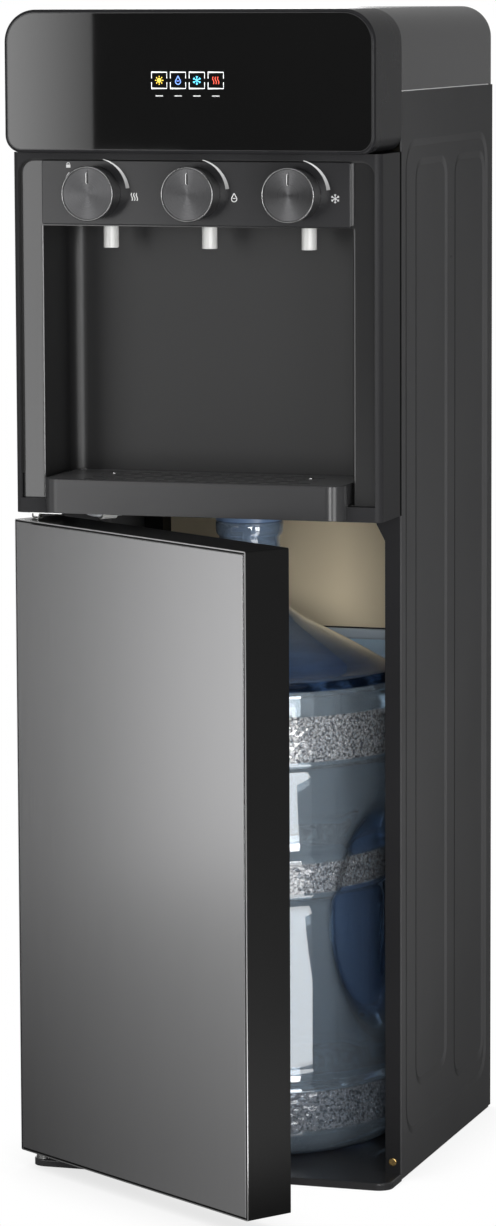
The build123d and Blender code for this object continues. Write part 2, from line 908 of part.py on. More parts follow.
def bottle_water():
    inset = bottle_wall + water_gap
    below = [p for p in bottle_profile(inset) if p[1] < base_thick + water_level]
    surface = base_thick + water_level
    water = turned(below + [(bottle_radius - inset, surface), (0, surface)])
    return water - rod_z(
        probe_tube_radius + water_gap,
        bottle_x,
        y_bottle,
        probe_tube_bottom - water_gap,
        surface + 1,
    )


def bottle_probe():
    # Cap that plugs the neck, with the hose spigot on top and the suction tube below
    z0 = base_thick + bottle_height
    probe = rod_z(bottle_bead_radius, bottle_x, y_bottle, z0, z0 + probe_cap_height)
    probe = fillet(probe.edges().group_by(Axis.Z)[-1], base_edge)
    probe += rod_z(bottle_mouth_radius - probe_skirt_gap, bottle_x, y_bottle, z0 - probe_skirt, z0)
    probe += rod_z(probe_tube_radius, bottle_x, y_bottle, probe_tube_bottom, z0 - probe_skirt)
    z1 = z0 + probe_cap_height
    s = spigot_size / 2
    probe += span(bottle_x - s, bottle_x + s, y_bottle - s, y_bottle + s, z1, z1 + spigot_height)
    bore = probe_tube_radius - probe_tube_wall
    return probe - rod_z(bore, bottle_x, y_bottle, probe_tube_bottom - 1, z0)


def hose_level():
    return base_thick + bottle_height + probe_cap_height + spigot_height / 2


def hose_corner():
    # The point under the pump's inlet where the hose turns up, and the direction in which it arrives
    lead = Vector(bottle_x - spigot_size / 2 - hose_lead, y_bottle, hose_level())
    corner = Vector(-hose_side, y_panel + pump_setback, hose_level())
    return corner, (corner - lead).normalized()


def suction_hose():
    z = hose_level()
    corner, along = hose_corner()
    inlet = (pump_x - pump_port_length, corner.Y, pump_z)
    return pipe(
        hose_radius,
        (hose_sweep_bend, hose_rise_bend, hose_pump_bend),
        (bottle_x - spigot_size / 2, y_bottle, z),
        (bottle_x - spigot_size / 2 - hose_lead, y_bottle, z),
        corner,
        (corner.X, corner.Y, pump_z),
        inlet,
    )


def hose_clip():
    # A clip under the shelf, around the level run of the hose
    corner, along = hose_corner()
    middle = corner - along * (hose_rise_bend + clip_distance / 2)
    outer = hose_radius + clip_wall
    across = Plane(middle, x_dir=(0, 0, 1), z_dir=along)
    drop = shelf_z - middle.Z
    block = across * Pos(drop / 2, 0, 0) * Box(drop, 2 * outer, clip_length)
    block += across * Cylinder(outer, clip_length)
    return block - across * Cylinder(hose_radius + touch_gap, 2 * clip_length)


# Machine room

def cold_tank():
    z0 = shelf_top + jacket_floor
    tank = rod_z(cold_radius, cold_x, y_cold, z0, z0 + cold_height)
    return tank - rod_z(cold_radius - cold_wall, cold_x, y_cold, z0 + cold_wall, z0 + cold_height - cold_wall)


def cold_jacket():
    z1 = shelf_top + jacket_floor + cold_height
    jacket = rod_z(cold_reach, cold_x, y_cold, shelf_top, z1)
    return jacket - rod_z(jacket_inside, cold_x, y_cold, shelf_top + jacket_floor, z1 + 1)


def evaporator_coil():
    ring = cold_radius + coil_gap + coil_radius
    z0 = shelf_top + jacket_floor + coil_start
    return [Pos(cold_x, y_cold, z0 + n * coil_pitch) * Torus(ring, coil_radius) for n in range(coil_turns)]


def hot_tank():
    z0 = bracket_z + shelf_thick + hot_jacket_wall
    tank = rod_z(hot_radius, hot_x, y_hot, z0, z0 + hot_height)
    return tank - rod_z(hot_radius - cold_wall, hot_x, y_hot, z0 + cold_wall, z0 + hot_height - cold_wall)


def hot_jacket():
    z0 = bracket_z + shelf_thick
    z1 = z0 + hot_jacket_wall + hot_height
    jacket = rod_z(hot_reach, hot_x, y_hot, z0, z1)
    return jacket - rod_z(hot_radius, hot_x, y_hot, z0 + hot_jacket_wall, z1 + 1)


def tank_bracket():
    x0 = hot_x - hot_reach - bracket_margin - shelf_thick
    y0 = y_hot - hot_reach - bracket_margin
    y1 = y_recess - sheet
    z1 = bracket_z + shelf_thick
    table = span(x0, lining, y0, y1, bracket_z, z1)
    table += span(x0, x0 + shelf_thick, y0, y1, shelf_top, bracket_z)
    return table + span(lining - shelf_thick, lining, y0, y1, shelf_top, bracket_z)


def compressor():
    z0 = shelf_top + grommet_height
    foot = compressor_foot_half
    body = span(hot_x - foot, hot_x + foot, y_hot - foot, y_hot + foot, z0, z0 + compressor_foot)
    body = fillet(body.edges().filter_by(Axis.Z), grommet_radius)
    shell = rod_z(compressor_radius, hot_x, y_hot, z0 + compressor_foot, z0 + compressor_height)
    shell = fillet(shell.edges().group_by(Axis.Z)[-1], compressor_dome)
    return body + shell


def compressor_grommets():
    reach = compressor_foot_half - grommet_inset
    places = [(sx * reach, sy * reach) for sx in (-1, 1) for sy in (-1, 1)]
    return [
        rod_z(grommet_radius, hot_x + dx, y_hot + dy, shelf_top, shelf_top + grommet_height) for dx, dy in places
    ]


def water_pump():
    # Pump head and motor on one axis, standing on the motor's foot
    y = y_panel + pump_setback
    x1 = pump_x + pump_head_length
    foot_x = x1 + pump_foot
    half_y = pump_motor_radius / 2
    pump = rod_x(pump_head_radius, y, pump_z, pump_x, x1)
    pump += rod_x(pump_motor_radius, y, pump_z, x1, x1 + pump_motor_length)
    pump += rod_x(pump_port_radius, y, pump_z, pump_x - pump_port_length, pump_x)
    pump += rod_z(pump_port_radius, pump_x + pump_head_length / 2, y, pump_z, outlet_z())
    return pump + span(foot_x, foot_x + 2 * pump_foot, y - half_y, y + half_y, shelf_top, pump_z)


def outlet_z():
    return pump_z + pump_head_radius + pump_port_length


def water_lines():
    # Pump to cold tank, cold tank to its tap, and hot tank to its tap
    y_pump = y_panel + pump_setback
    y_tap = y_flange + flange_thick + valve_depth + valve_half
    cold_top = shelf_top + jacket_floor + cold_height
    hot_top = bracket_z + shelf_thick + hot_jacket_wall + hot_height
    high = hot_top + 2 * line_bend
    lift = cold_top + 2 * line_bend
    x_pump = pump_x + pump_head_length / 2
    x_cold = cold_x + cold_radius / 2
    y_rise = y_panel + pump_setback + pump_head_radius
    fill = pipe(
        line_radius,
        line_bend,
        (x_pump, y_pump, outlet_z()),
        (x_pump, y_pump, lift),
        (x_pump, y_cold, lift),
        (x_pump, y_cold, cold_top),
    )
    cold = pipe(
        line_radius,
        line_bend,
        (x_cold, y_cold, cold_top),
        (x_cold, y_cold, high),
        (x_cold, y_rise, high),
        (knob_pitch, y_rise, high),
        (knob_pitch, y_rise, knob_z),
        (knob_pitch, y_tap, knob_z),
    )
    hot = pipe(
        line_radius,
        line_bend,
        (hot_x, y_hot, hot_top),
        (hot_x, y_hot, high + 2 * line_bend),
        (-knob_pitch, y_rise, high + 2 * line_bend),
        (-knob_pitch, y_rise, knob_z),
        (-knob_pitch, y_tap, knob_z),
    )
    return [fill, cold, hot]


def main_board():
    y1 = y_recess - sheet - board_standoff
    z1 = main_board_z + main_board_height
    x0 = main_board_x - main_board_half
    x1 = main_board_x + main_board_half
    board = span(x0, x1, y1 - board_thick, y1, main_board_z, z1)
    block = main_board_half / 4
    for n, depth in enumerate((board_height / 2, board_height / 4, board_height / 3)):
        xb = x0 + (n + 0.75) * main_board_half / 2
        zb = main_board_z + main_board_height / 2
        board += span(xb - block, xb + block, y1 - board_thick - depth, y1, zb - block, zb + block)
    return board


# Rear of the cabinet

def condenser_y():
    return y_recess + condenser_recess / 2


def condenser():
    # A serpentine tube between two rows of upright wires
    y = condenser_y()
    turn = tube_pass_pitch / 2
    points = []
    for n in range(tube_passes):
        z = tube_bottom_z + n * tube_pass_pitch
        ends = [(tube_left, y, z), (tube_right, y, z)]
        points += ends if n % 2 == 0 else ends[::-1]
    tube = pipe(tube_radius, turn * (1 - wire_gap), *points)
    z0 = tube_bottom_z - wire_overrun
    z1 = tube_bottom_z + (tube_passes - 1) * tube_pass_pitch + wire_overrun
    first = tube_left + wire_margin
    step = (tube_right - wire_margin - first) / (wire_count - 1)
    reach = tube_radius + wire_radius + wire_gap
    clear_of_clip = clip_radius + wire_radius
    wires = []
    for n in range(wire_count):
        x = first + n * step
        wires.append(rod_z(wire_radius, x, y + reach, z0, z1))
        if min(abs(x - first), abs(x - tube_right + wire_margin)) > clear_of_clip:
            wires.append(rod_z(wire_radius, x, y - reach, z0, z1))
    return [tube] + wires


def cord_gland():
    y0 = y_recess - gland_length + gland_flange
    gland = rod_y(gland_body, service_x, gland_z, y0, y_recess)
    gland += rod_y(gland_radius, service_x, gland_z, y_recess, y_recess + gland_flange)
    gland = fillet(gland.edges().group_by(Axis.Y)[-1], panel_margin)
    return gland - rod_y(gland_bore, service_x, gland_z, y0 - 1, y_recess + gland_flange + 1)


def drain_spout():
    y0 = y_recess - sheet - drain_flange
    spout = rod_y(drain_radius, service_x, drain_z, y0, y_recess + drain_length)
    spout += rod_y(drain_flange_radius, service_x, drain_z, y0, y_recess - sheet)
    return spout - rod_y(drain_bore, service_x, drain_z, y0 - 1, y_recess + drain_length + 1)


def drain_cap():
    y1 = y_recess + drain_length + touch_gap + cap_wall
    y0 = y1 - cap_length
    cap = rod_y(drain_radius + cap_clear + cap_wall, service_x, drain_z, y0, y1)
    cap = fillet(cap.edges().group_by(Axis.Y)[-1], panel_margin)
    return cap - rod_y(drain_radius + cap_clear, service_x, drain_z, y0 - 1, y1 - cap_wall)


def switch_hole(z, y0, y1):
    return span(service_x - switch_half_x, service_x + switch_half_x, y0, y1, z - switch_half_z, z + switch_half_z)


def switch_housings():
    housings = []
    for z in switch_heights:
        body = switch_hole(z, y_recess - switch_body, y_recess)
        body += span(
            service_x - switch_half_x - switch_lip,
            service_x + switch_half_x + switch_lip,
            y_recess,
            y_recess + switch_bezel,
            z - switch_half_z - switch_lip,
            z + switch_half_z + switch_lip,
        )
        well = span(
            service_x - switch_half_x + switch_lip,
            service_x + switch_half_x - switch_lip,
            y_recess - switch_body + switch_lip,
            y_recess + switch_bezel + 1,
            z - switch_half_z + switch_lip,
            z + switch_half_z - switch_lip,
        )
        housings.append(body - well)
    return housings


def rocker(z):
    y = y_recess - rocker_sink
    half_x = switch_half_x - switch_lip - rocker_gap
    drum = rod_x(rocker_radius, y, z, service_x - half_x, service_x + half_x)
    for side in (-1, 1):
        wedge = Pos(service_x, y, z) * Rot(side * rocker_slope, 0, 0)
        wedge *= Pos(0, 2 * rocker_radius - rocker_sink / 2, side * rocker_radius)
        drum -= wedge * Box(4 * half_x, 2 * rocker_radius, 2 * rocker_radius)
    return drum.rotate(Axis((service_x, y, z), (1, 0, 0)), rocker_tilt)


def cabinet_screws():
    x = inner - rear_flange / 2
    heads = []
    for z in screw_heights:
        y0 = y_back if z < shelf_z else y_recess
        for side in (-1, 1):
            heads.append(rod_y(screw_radius, side * x, z, y0, y0 + screw_head))
    return heads


def earth_screw():
    head = rod_y(screw_radius, earth_x, earth_z, y_panel - screw_head, y_panel)
    head = fillet(head.edges().group_by(Axis.Y)[0], screw_head / 2)
    head += rod_y(earth_shank, earth_x, earth_z, y_panel, y_panel + earth_length)
    slot = span(
        earth_x - screw_radius,
        earth_x + screw_radius,
        y_panel - 2 * screw_head,
        y_panel - screw_head / 2,
        earth_z - screw_head / 4,
        earth_z + screw_head / 4,
    )
    return head - slot


right_panel = side_panel()
pieces = {
    "base_tray": base_tray(),
    "foot_pads": foot_pads(),
    "side_panel_right": right_panel,
    "side_panel_left": mirror(right_panel, Plane.YZ),
    "front_pillars": front_pillars(),
    "rear_corner_posts": rear_corner_posts(),
    "mid_shelf": mid_shelf(),
    "rear_panel_lower": rear_panel_lower(),
    "rear_liner": rear_liner(),
    "liner_edge_bar": liner_edge_bar(),
    "rear_panel_upper": rear_panel_upper(),
    "top_cover": top_cover(),
    "front_fascia": front_fascia(),
    "alcove_liner": alcove_liner(),
    "control_panel": control_panel(),
    "head_frame": head_frame(),
    "display_plate": display_plate(),
    "display_board": display_board(),
    "drip_tray": drip_tray(),
    "drip_grille": drip_grille(),
    "door_frame": swing(door_frame()),
    "door_panel": swing(door_panel()),
    "door_liner": swing(door_liner()),
    "door_bushes": [swing(bush) for bush in door_bushes()],
    "door_magnets": [swing(bar) for bar in door_magnets()],
    "top_hinge": top_hinge(),
    "bottom_hinge": bottom_hinge(),
    "water_bottle": water_bottle(),
    "bottle_water": bottle_water(),
    "bottle_probe": bottle_probe(),
    "suction_hose": suction_hose(),
    "hose_clip": hose_clip(),
    "cold_tank": cold_tank(),
    "cold_jacket": cold_jacket(),
    "evaporator_coil": evaporator_coil(),
    "hot_tank": hot_tank(),
    "hot_jacket": hot_jacket(),
    "tank_bracket": tank_bracket(),
    "compressor": compressor(),
    "compressor_grommets": compressor_grommets(),
    "water_pump": water_pump(),
    "water_lines": water_lines(),
    "main_board": main_board(),
    "condenser": condenser(),
    "cord_gland": cord_gland(),
    "drain_spout": drain_spout(),
    "drain_cap": drain_cap(),
    "switch_housings": switch_housings(),
    "rocker_hot": rocker(switch_heights[0]),
    "rocker_cold": rocker(switch_heights[1]),
    "cabinet_screws": cabinet_screws(),
    "earth_screw": earth_screw(),
    "tap_valves": [valve(x) for x in knob_places.values()],
    "nozzles": [nozzle(x) for x in knob_places.values()],
}
for tap, place in knob_places.items():
    pieces[f"knob_{tap}"] = knob(place)
    pieces[f"knob_face_{tap}"] = knob_face(place)

for name, piece in pieces.items():
    solids = [s for item in (piece if isinstance(piece, list) else [piece]) for s in item.solids()]
    export_step(Compound(children=solids) if len(solids) > 1 else solids[0], f"parts/{name}.step")
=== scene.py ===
import json
import math

import bmesh
import bpy
from mathutils import Matrix, Vector, noise


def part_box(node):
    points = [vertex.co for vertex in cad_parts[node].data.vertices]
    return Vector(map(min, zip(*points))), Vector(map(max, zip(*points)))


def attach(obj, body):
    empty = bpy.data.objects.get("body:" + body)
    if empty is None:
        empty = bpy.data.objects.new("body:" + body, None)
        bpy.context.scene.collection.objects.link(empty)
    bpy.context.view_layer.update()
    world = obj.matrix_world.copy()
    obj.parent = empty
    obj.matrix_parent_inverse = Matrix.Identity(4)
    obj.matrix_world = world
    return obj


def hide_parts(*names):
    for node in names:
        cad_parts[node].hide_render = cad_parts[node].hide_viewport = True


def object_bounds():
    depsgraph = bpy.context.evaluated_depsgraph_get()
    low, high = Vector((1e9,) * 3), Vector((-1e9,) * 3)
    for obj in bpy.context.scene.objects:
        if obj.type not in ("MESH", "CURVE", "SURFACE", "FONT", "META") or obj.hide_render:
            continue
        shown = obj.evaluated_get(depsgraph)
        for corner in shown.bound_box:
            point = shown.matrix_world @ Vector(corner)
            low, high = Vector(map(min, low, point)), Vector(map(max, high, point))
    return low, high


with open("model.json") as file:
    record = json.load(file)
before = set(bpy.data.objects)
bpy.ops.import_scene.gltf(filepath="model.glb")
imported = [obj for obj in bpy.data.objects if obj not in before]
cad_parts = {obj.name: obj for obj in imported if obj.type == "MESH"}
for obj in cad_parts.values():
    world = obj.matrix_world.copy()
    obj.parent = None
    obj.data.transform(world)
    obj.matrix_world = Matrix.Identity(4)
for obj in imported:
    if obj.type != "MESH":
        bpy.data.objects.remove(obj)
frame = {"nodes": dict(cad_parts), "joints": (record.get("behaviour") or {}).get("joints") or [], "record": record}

cad_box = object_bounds()
MM = 0.001
nodes = frame["nodes"]
TAPS = ("hot", "normal", "cold")

# The camera stands where the photograph was taken from
PHOTO_HEIGHT = 1226
FOCAL_PIXELS = 4883.5
SENSOR = 36.0
CAMERA_FAR = 50.0
CAMERA_PLACE = Vector((1.23399, -3.88596, 0.97523))
CAMERA_YAW = math.radians(17.81)
CAMERA_PITCH = math.radians(7.35)
CAMERA_ROLL = math.radians(-0.25)

# Sizes of the noise in the finishes, in waves per metre
SLOW_DRIFT = 7.0
CLEAR_DRIFT = 9.0
FINE_GRAIN = 1500.0

# Side panels: how many times steeper than it is the shallow pressing is shaded
RELIEF = 4.0
# Fascia: width of the black line of painted shade at the seam to the side panels, in millimetres
SEAM_SHADE_LINE = 4.5
# Door: how far the silver lip stands off the hinge line, in millimetres
LIP_FROM = 16.1

# Bottle's finish: heights of the pebbled rings in millimetres
TEXTURED = ((29.0, 62.0), (229.5, 254.5), (339.0, 377.0))
# Radii between which the grip pocket turns a deeper blue, a painted shade in the recess, and heights between which
# the tones change, in metres
POCKET_SHADE = (0.1185, 0.1245)
# Heights over which the body's painted shade lightens, from darkest at the bottom
CLIMB_SHADE = (0.12, 0.36)
SHOULDER = (0.400, 0.410)
# Heights of the shoulder's painted shade and reflection, from deepest blue at its foot to paler at its top
CONE_SHADE = (0.404, 0.436)
# Heights of the painted shade and glints at the seam under the shoulder
BOTTLE_SEAM_SHADE = (0.3975, 0.4045)


def add_camera():
    forward = Vector((
        -math.sin(CAMERA_YAW) * math.cos(CAMERA_PITCH),
        math.cos(CAMERA_YAW) * math.cos(CAMERA_PITCH),
        -math.sin(CAMERA_PITCH),
    ))
    level = Vector((math.cos(CAMERA_YAW), math.sin(CAMERA_YAW), 0.0))
    right = Matrix.Rotation(-CAMERA_ROLL, 3, forward) @ level
    up = right.cross(forward)
    data = bpy.data.cameras.new("camera")
    data.sensor_width = SENSOR
    data.lens = FOCAL_PIXELS * SENSOR / PHOTO_HEIGHT
    data.clip_end = CAMERA_FAR
    camera = bpy.data.objects.new("camera", data)
    bpy.context.scene.collection.objects.link(camera)
    turn = Matrix((right, up, -forward)).transposed().to_4x4()
    camera.matrix_world = Matrix.Translation(CAMERA_PLACE) @ turn
    bpy.context.scene.camera = camera


def middle(low, high):
    # Middle of a box, in millimetres
    return (low + high) / 2 / MM


# Node helpers

def new_material(name):
    material = bpy.data.materials.new(name)
    material.use_nodes = True
    tree = material.node_tree
    return material, tree, tree.nodes["Principled BSDF"]


def add(tree, kind, **settings):
    made = tree.nodes.new("ShaderNode" + kind)
    for key, value in settings.items():
        setattr(made, key, value)
    return made


def feed(tree, value, socket):
    # Links an output to the socket, or sets the socket to a plain value
    if isinstance(value, bpy.types.NodeSocket):
        tree.links.new(value, socket)
    else:
        socket.default_value = value


def object_place(tree, stretch=(1, 1, 1)):
    coordinates = add(tree, "TexCoord")
    mapping = add(tree, "Mapping")
    mapping.inputs["Scale"].default_value = stretch
    tree.links.new(coordinates.outputs["Object"], mapping.inputs["Vector"])
    return mapping.outputs["Vector"]


def axes(tree, vector):
    made = add(tree, "SeparateXYZ")
    tree.links.new(vector, made.inputs["Vector"])
    return made.outputs


def combine(tree, operation, first, second):
    made = add(tree, "Math", operation=operation)
    feed(tree, first, made.inputs[0])
    feed(tree, second, made.inputs[1])
    return made.outputs["Value"]


def vector_step(tree, operation, vector, other=None):
    made = add(tree, "VectorMath", operation=operation)
    tree.links.new(vector, made.inputs[0])
    if other is not None:
        made.inputs[1].default_value = other
    return made.outputs["Value" if operation in ("LENGTH", "DOT_PRODUCT") else "Vector"]


def add_noise(tree, vector, scale, detail=3.0):
    made = add(tree, "TexNoise")
    made.inputs["Scale"].default_value = scale
    made.inputs["Detail"].default_value = detail
    tree.links.new(vector, made.inputs["Vector"])
    return made.outputs["Fac"]


def remap(tree, value, low, high, start=0.3, end=0.7):
    made = add(tree, "MapRange")
    made.inputs["From Min"].default_value = start
    made.inputs["From Max"].default_value = end
    made.inputs["To Min"].default_value = low
    made.inputs["To Max"].default_value = high
    tree.links.new(value, made.inputs["Value"])
    return made.outputs["Result"]


def between(tree, value, low, high):
    # 1 where the value lies between two levels
    made = add(tree, "Math", operation="COMPARE")
    made.inputs[1].default_value = (low + high) / 2
    made.inputs[2].default_value = (high - low) / 2
    tree.links.new(value, made.inputs[0])
    return made.outputs["Value"]


def mix_values(tree, factor, first, second):
    made = add(tree, "Mix", data_type="FLOAT")
    tree.links.new(factor, made.inputs["Factor"])
    feed(tree, first, made.inputs["A"])
    feed(tree, second, made.inputs["B"])
    return made.outputs["Result"]


def mix_colours(tree, factor, first, second):
    made = add(tree, "Mix", data_type="RGBA")
    tree.links.new(factor, made.inputs["Factor"])
    colours = [socket for socket in made.inputs if socket.type == "RGBA"]
    for socket, value in zip(colours, (first, second)):
        feed(tree, (*value, 1) if isinstance(value, tuple) else value, socket)
    return [socket for socket in made.outputs if socket.type == "RGBA"][0]


def shade(colour, factor):
    return tuple(min(1.0, channel * factor) for channel in colour)


def drifting(tree, factor, colour, drift):
    # A colour that drifts by a share of itself either way
    return mix_colours(tree, factor, shade(colour, 1 - drift), shade(colour, 1 + drift))


def wavering(tree, factor, value, drift):
    return remap(tree, factor, value * (1 - drift), value * (1 + drift))


def add_bump(tree, shader, height, distance):
    bump = add(tree, "Bump")
    bump.inputs["Distance"].default_value = distance
    tree.links.new(height, bump.inputs["Height"])
    tree.links.new(bump.outputs["Normal"], shader.inputs["Normal"])
    return bump


# Finishes

def moulded(name, colour, roughness, grain=900.0, relief=0.02, drift=0.10, specular=0.5):
    # Moulded plastic or sprayed paint: slow drift of tone and gloss, fine grain in the surface
    material, tree, shader = new_material(name)
    place = object_place(tree)
    slow = add_noise(tree, place, SLOW_DRIFT)
    tree.links.new(drifting(tree, slow, colour, drift), shader.inputs["Base Color"])
    tree.links.new(wavering(tree, slow, roughness, 0.08), shader.inputs["Roughness"])
    shader.inputs["Specular IOR Level"].default_value = specular
    add_bump(tree, shader, add_noise(tree, place, grain, 2.0), relief * MM)
    return material


def pressed_sheet(name, colour, roughness):
    # Matt paint on pressed sheet: the shallow embossing reads a little deeper than it is
    material, tree, shader = new_material(name)
    place = object_place(tree)
    slow = add_noise(tree, place, SLOW_DRIFT)
    tree.links.new(drifting(tree, slow, colour, 0.10), shader.inputs["Base Color"])
    tree.links.new(wavering(tree, slow, roughness, 0.08), shader.inputs["Roughness"])
    shader.inputs["Specular IOR Level"].default_value = 0.0
    normal = add(tree, "NewGeometry").outputs["Normal"]
    steep = vector_step(tree, "MULTIPLY", normal, (1, RELIEF, RELIEF))
    bump = add_bump(tree, shader, add_noise(tree, place, 1300.0, 2.0), 0.008 * MM)
    tree.links.new(vector_step(tree, "NORMALIZE", steep), bump.inputs["Normal"])
    return material


def hairline(name, colour, roughness, stretch):
    # Metal with fine lines drawn along one direction
    material, tree, shader = new_material(name)
    lines = add_noise(tree, object_place(tree, stretch), 1.0, 4.0)
    tree.links.new(drifting(tree, lines, colour, 0.06), shader.inputs["Base Color"])
    tree.links.new(wavering(tree, lines, roughness, 0.12), shader.inputs["Roughness"])
    shader.inputs["Metallic"].default_value = 1.0
    add_bump(tree, shader, lines, 0.004 * MM)
    return material


def plated(name, colour, roughness, spots=60.0, drift=0.08):
    # Plated or cast metal with faint mottling
    material, tree, shader = new_material(name)
    mottle = add_noise(tree, object_place(tree), spots, 5.0)
    tree.links.new(drifting(tree, mottle, colour, drift), shader.inputs["Base Color"])
    tree.links.new(wavering(tree, mottle, roughness, 0.2), shader.inputs["Roughness"])
    shader.inputs["Metallic"].default_value = 1.0
    return material


def spun(name, colour, roughness):
    # Metal disc turned on a lathe: rings around the middle and a fan of reflected light
    material, tree, shader = new_material(name)
    coordinates = add(tree, "TexCoord")
    from_middle = vector_step(tree, "SUBTRACT", coordinates.outputs["Generated"], (0.5, 0.5, 0.5))
    flat = vector_step(tree, "MULTIPLY", from_middle, (1, 0, 1))
    noise_rings = add(tree, "TexNoise", noise_dimensions="1D")
    noise_rings.inputs["Scale"].default_value = 160.0
    tree.links.new(vector_step(tree, "LENGTH", flat), noise_rings.inputs["W"])
    rings = noise_rings.outputs["Fac"]
    tree.links.new(drifting(tree, rings, colour, 0.15), shader.inputs["Base Color"])
    tree.links.new(wavering(tree, rings, roughness, 0.15), shader.inputs["Roughness"])
    shader.inputs["Metallic"].default_value = 1.0
    shader.inputs["Anisotropic"].default_value = 0.85
    tangent = add(tree, "Tangent", direction_type="RADIAL", axis="Y")
    tree.links.new(tangent.outputs["Tangent"], shader.inputs["Tangent"])
    add_bump(tree, shader, rings, 0.004 * MM)
    return material


def clear(name, colour, roughness, ior):
    # Water, with a faint drift of tint
    material, tree, shader = new_material(name)
    drift = add_noise(tree, object_place(tree), CLEAR_DRIFT)
    tree.links.new(drifting(tree, drift, colour, 0.04), shader.inputs["Base Color"])
    tree.links.new(wavering(tree, drift, roughness, 0.2), shader.inputs["Roughness"])
    shader.inputs["IOR"].default_value = ior
    shader.inputs["Transmission Weight"].default_value = 1.0
    return material


def bottle_plastic(name):
    # Blue clear plastic: clearest on the smooth bands, frosted on the pebbled rings,
    # deeper blue on the shoulder, with painted shade, reflection and glints in its tones
    material, tree, shader = new_material(name)
    place = object_place(tree)
    height = axes(tree, place)["Z"]
    zones = [between(tree, height, low * MM, high * MM) for low, high in TEXTURED]
    frosted = zones[0]
    for zone in zones[1:]:
        frosted = combine(tree, "ADD", frosted, zone)
    shoulder = remap(tree, height, 0.0, 1.0, *SHOULDER)
    low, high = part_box("water_bottle")
    from_axis = vector_step(tree, "SUBTRACT", place, (low + high) / 2)
    radius = vector_step(tree, "LENGTH", vector_step(tree, "MULTIPLY", from_axis, (1, 1, 0)))
    # Painted shade: a deeper blue inside the grip pocket
    pocket_shade = remap(tree, radius, 1.0, 0.0, *POCKET_SHADE)
    # Painted shade: the body's tones grow darker towards the bottom
    climb_shade = remap(tree, height, 0.0, 1.0, *CLIMB_SHADE)
    rise = remap(tree, height, 0.0, 1.0, *CONE_SHADE)

    body = mix_colours(tree, climb_shade, (0.52, 0.63, 0.74), (0.68, 0.80, 0.90))
    body = mix_colours(tree, pocket_shade, body, (0.36, 0.54, 0.84))
    # Painted shade and reflection on the shoulder: deepest blue at its foot, paler at its top
    cone_shade = mix_colours(tree, rise, (0.14, 0.28, 0.60), (0.40, 0.52, 0.68))
    body = mix_colours(tree, shoulder, body, cone_shade)
    # On the pebbled rings, dark and pale cells paint shade and glints on the grain, darker towards the bottom
    cells = remap(tree, add_noise(tree, place, 460.0, 2.0), 0.0, 1.0, 0.40, 0.52)
    bright = mix_colours(tree, climb_shade, (0.54, 0.60, 0.68), (0.94, 0.97, 1.0))
    speckle_shade_and_glints = mix_colours(tree, cells, (0.16, 0.19, 0.23), bright)
    tone = mix_colours(tree, frosted, body, speckle_shade_and_glints)
    # Painted shade and glints at the seam under the shoulder: near black with blue glints
    glints = remap(tree, add_noise(tree, place, 60.0, 4.0), 0.0, 1.0, 0.50, 0.66)
    seam = mix_colours(tree, glints, (0.03, 0.06, 0.13), (0.20, 0.38, 0.75))
    tone = mix_colours(tree, between(tree, height, *BOTTLE_SEAM_SHADE), tone, seam)
    tree.links.new(tone, shader.inputs["Base Color"])

    clearness = mix_values(tree, frosted, 0.87, 0.74)
    clearness = mix_values(tree, shoulder, clearness, 0.70)
    tree.links.new(clearness, shader.inputs["Transmission Weight"])
    smooth = remap(tree, add_noise(tree, place, CLEAR_DRIFT), 0.03, 0.05)
    tree.links.new(mix_values(tree, frosted, smooth, 0.09), shader.inputs["Roughness"])
    add_bump(tree, shader, mix_values(tree, frosted, 0.0, cells), 0.5 * MM)
    shader.inputs["IOR"].default_value = 1.45
    shader.inputs["Coat Weight"].default_value = 1.0
    shader.inputs["Coat IOR"].default_value = 1.7
    return material


def alcove_plastic(name):
    # Matt inside the alcove, satin on the flange around it
    material, tree, shader = new_material(name)
    place = object_place(tree)
    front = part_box("alcove_liner")[0].y
    flange = remap(tree, axes(tree, place)["Y"], 1.0, 0.0, front + 0.2 * MM, front + 1.2 * MM)
    slow = add_noise(tree, place, SLOW_DRIFT)
    tone = mix_colours(tree, slow, (0.0072, 0.0072, 0.0075), (0.0088, 0.0088, 0.0092))
    tree.links.new(tone, shader.inputs["Base Color"])
    tree.links.new(mix_values(tree, flange, 0.42, 0.17), shader.inputs["Roughness"])
    shader.inputs["Specular IOR Level"].default_value = 0.40
    tree.links.new(mix_values(tree, flange, 0.0, 0.5), shader.inputs["Coat Weight"])
    shader.inputs["Coat Roughness"].default_value = 0.17
    grain = add_noise(tree, place, FINE_GRAIN, 2.0)
    add_bump(tree, shader, mix_values(tree, flange, grain, 0.5), 0.012 * MM)
    return material


def fascia_satin(name, colour, roughness):
    # Satin plastic with a black line of painted shade along the seam to the side panels
    material, tree, shader = new_material(name)
    place = object_place(tree)
    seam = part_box("side_panel_right")[0].y
    line = between(tree, axes(tree, place)["Y"], seam - SEAM_SHADE_LINE * MM, seam)
    tone = drifting(tree, add_noise(tree, place, SLOW_DRIFT), colour, 0.10)
    # The black line is painted shade along the seam
    tree.links.new(mix_colours(tree, line, tone, (0.001, 0.001, 0.001)), shader.inputs["Base Color"])
    tree.links.new(mix_values(tree, line, roughness, 0.95), shader.inputs["Roughness"])
    shader.inputs["Specular IOR Level"].default_value = 0.05
    add_bump(tree, shader, add_noise(tree, place, FINE_GRAIN, 2.0), 0.004 * MM)
    return material


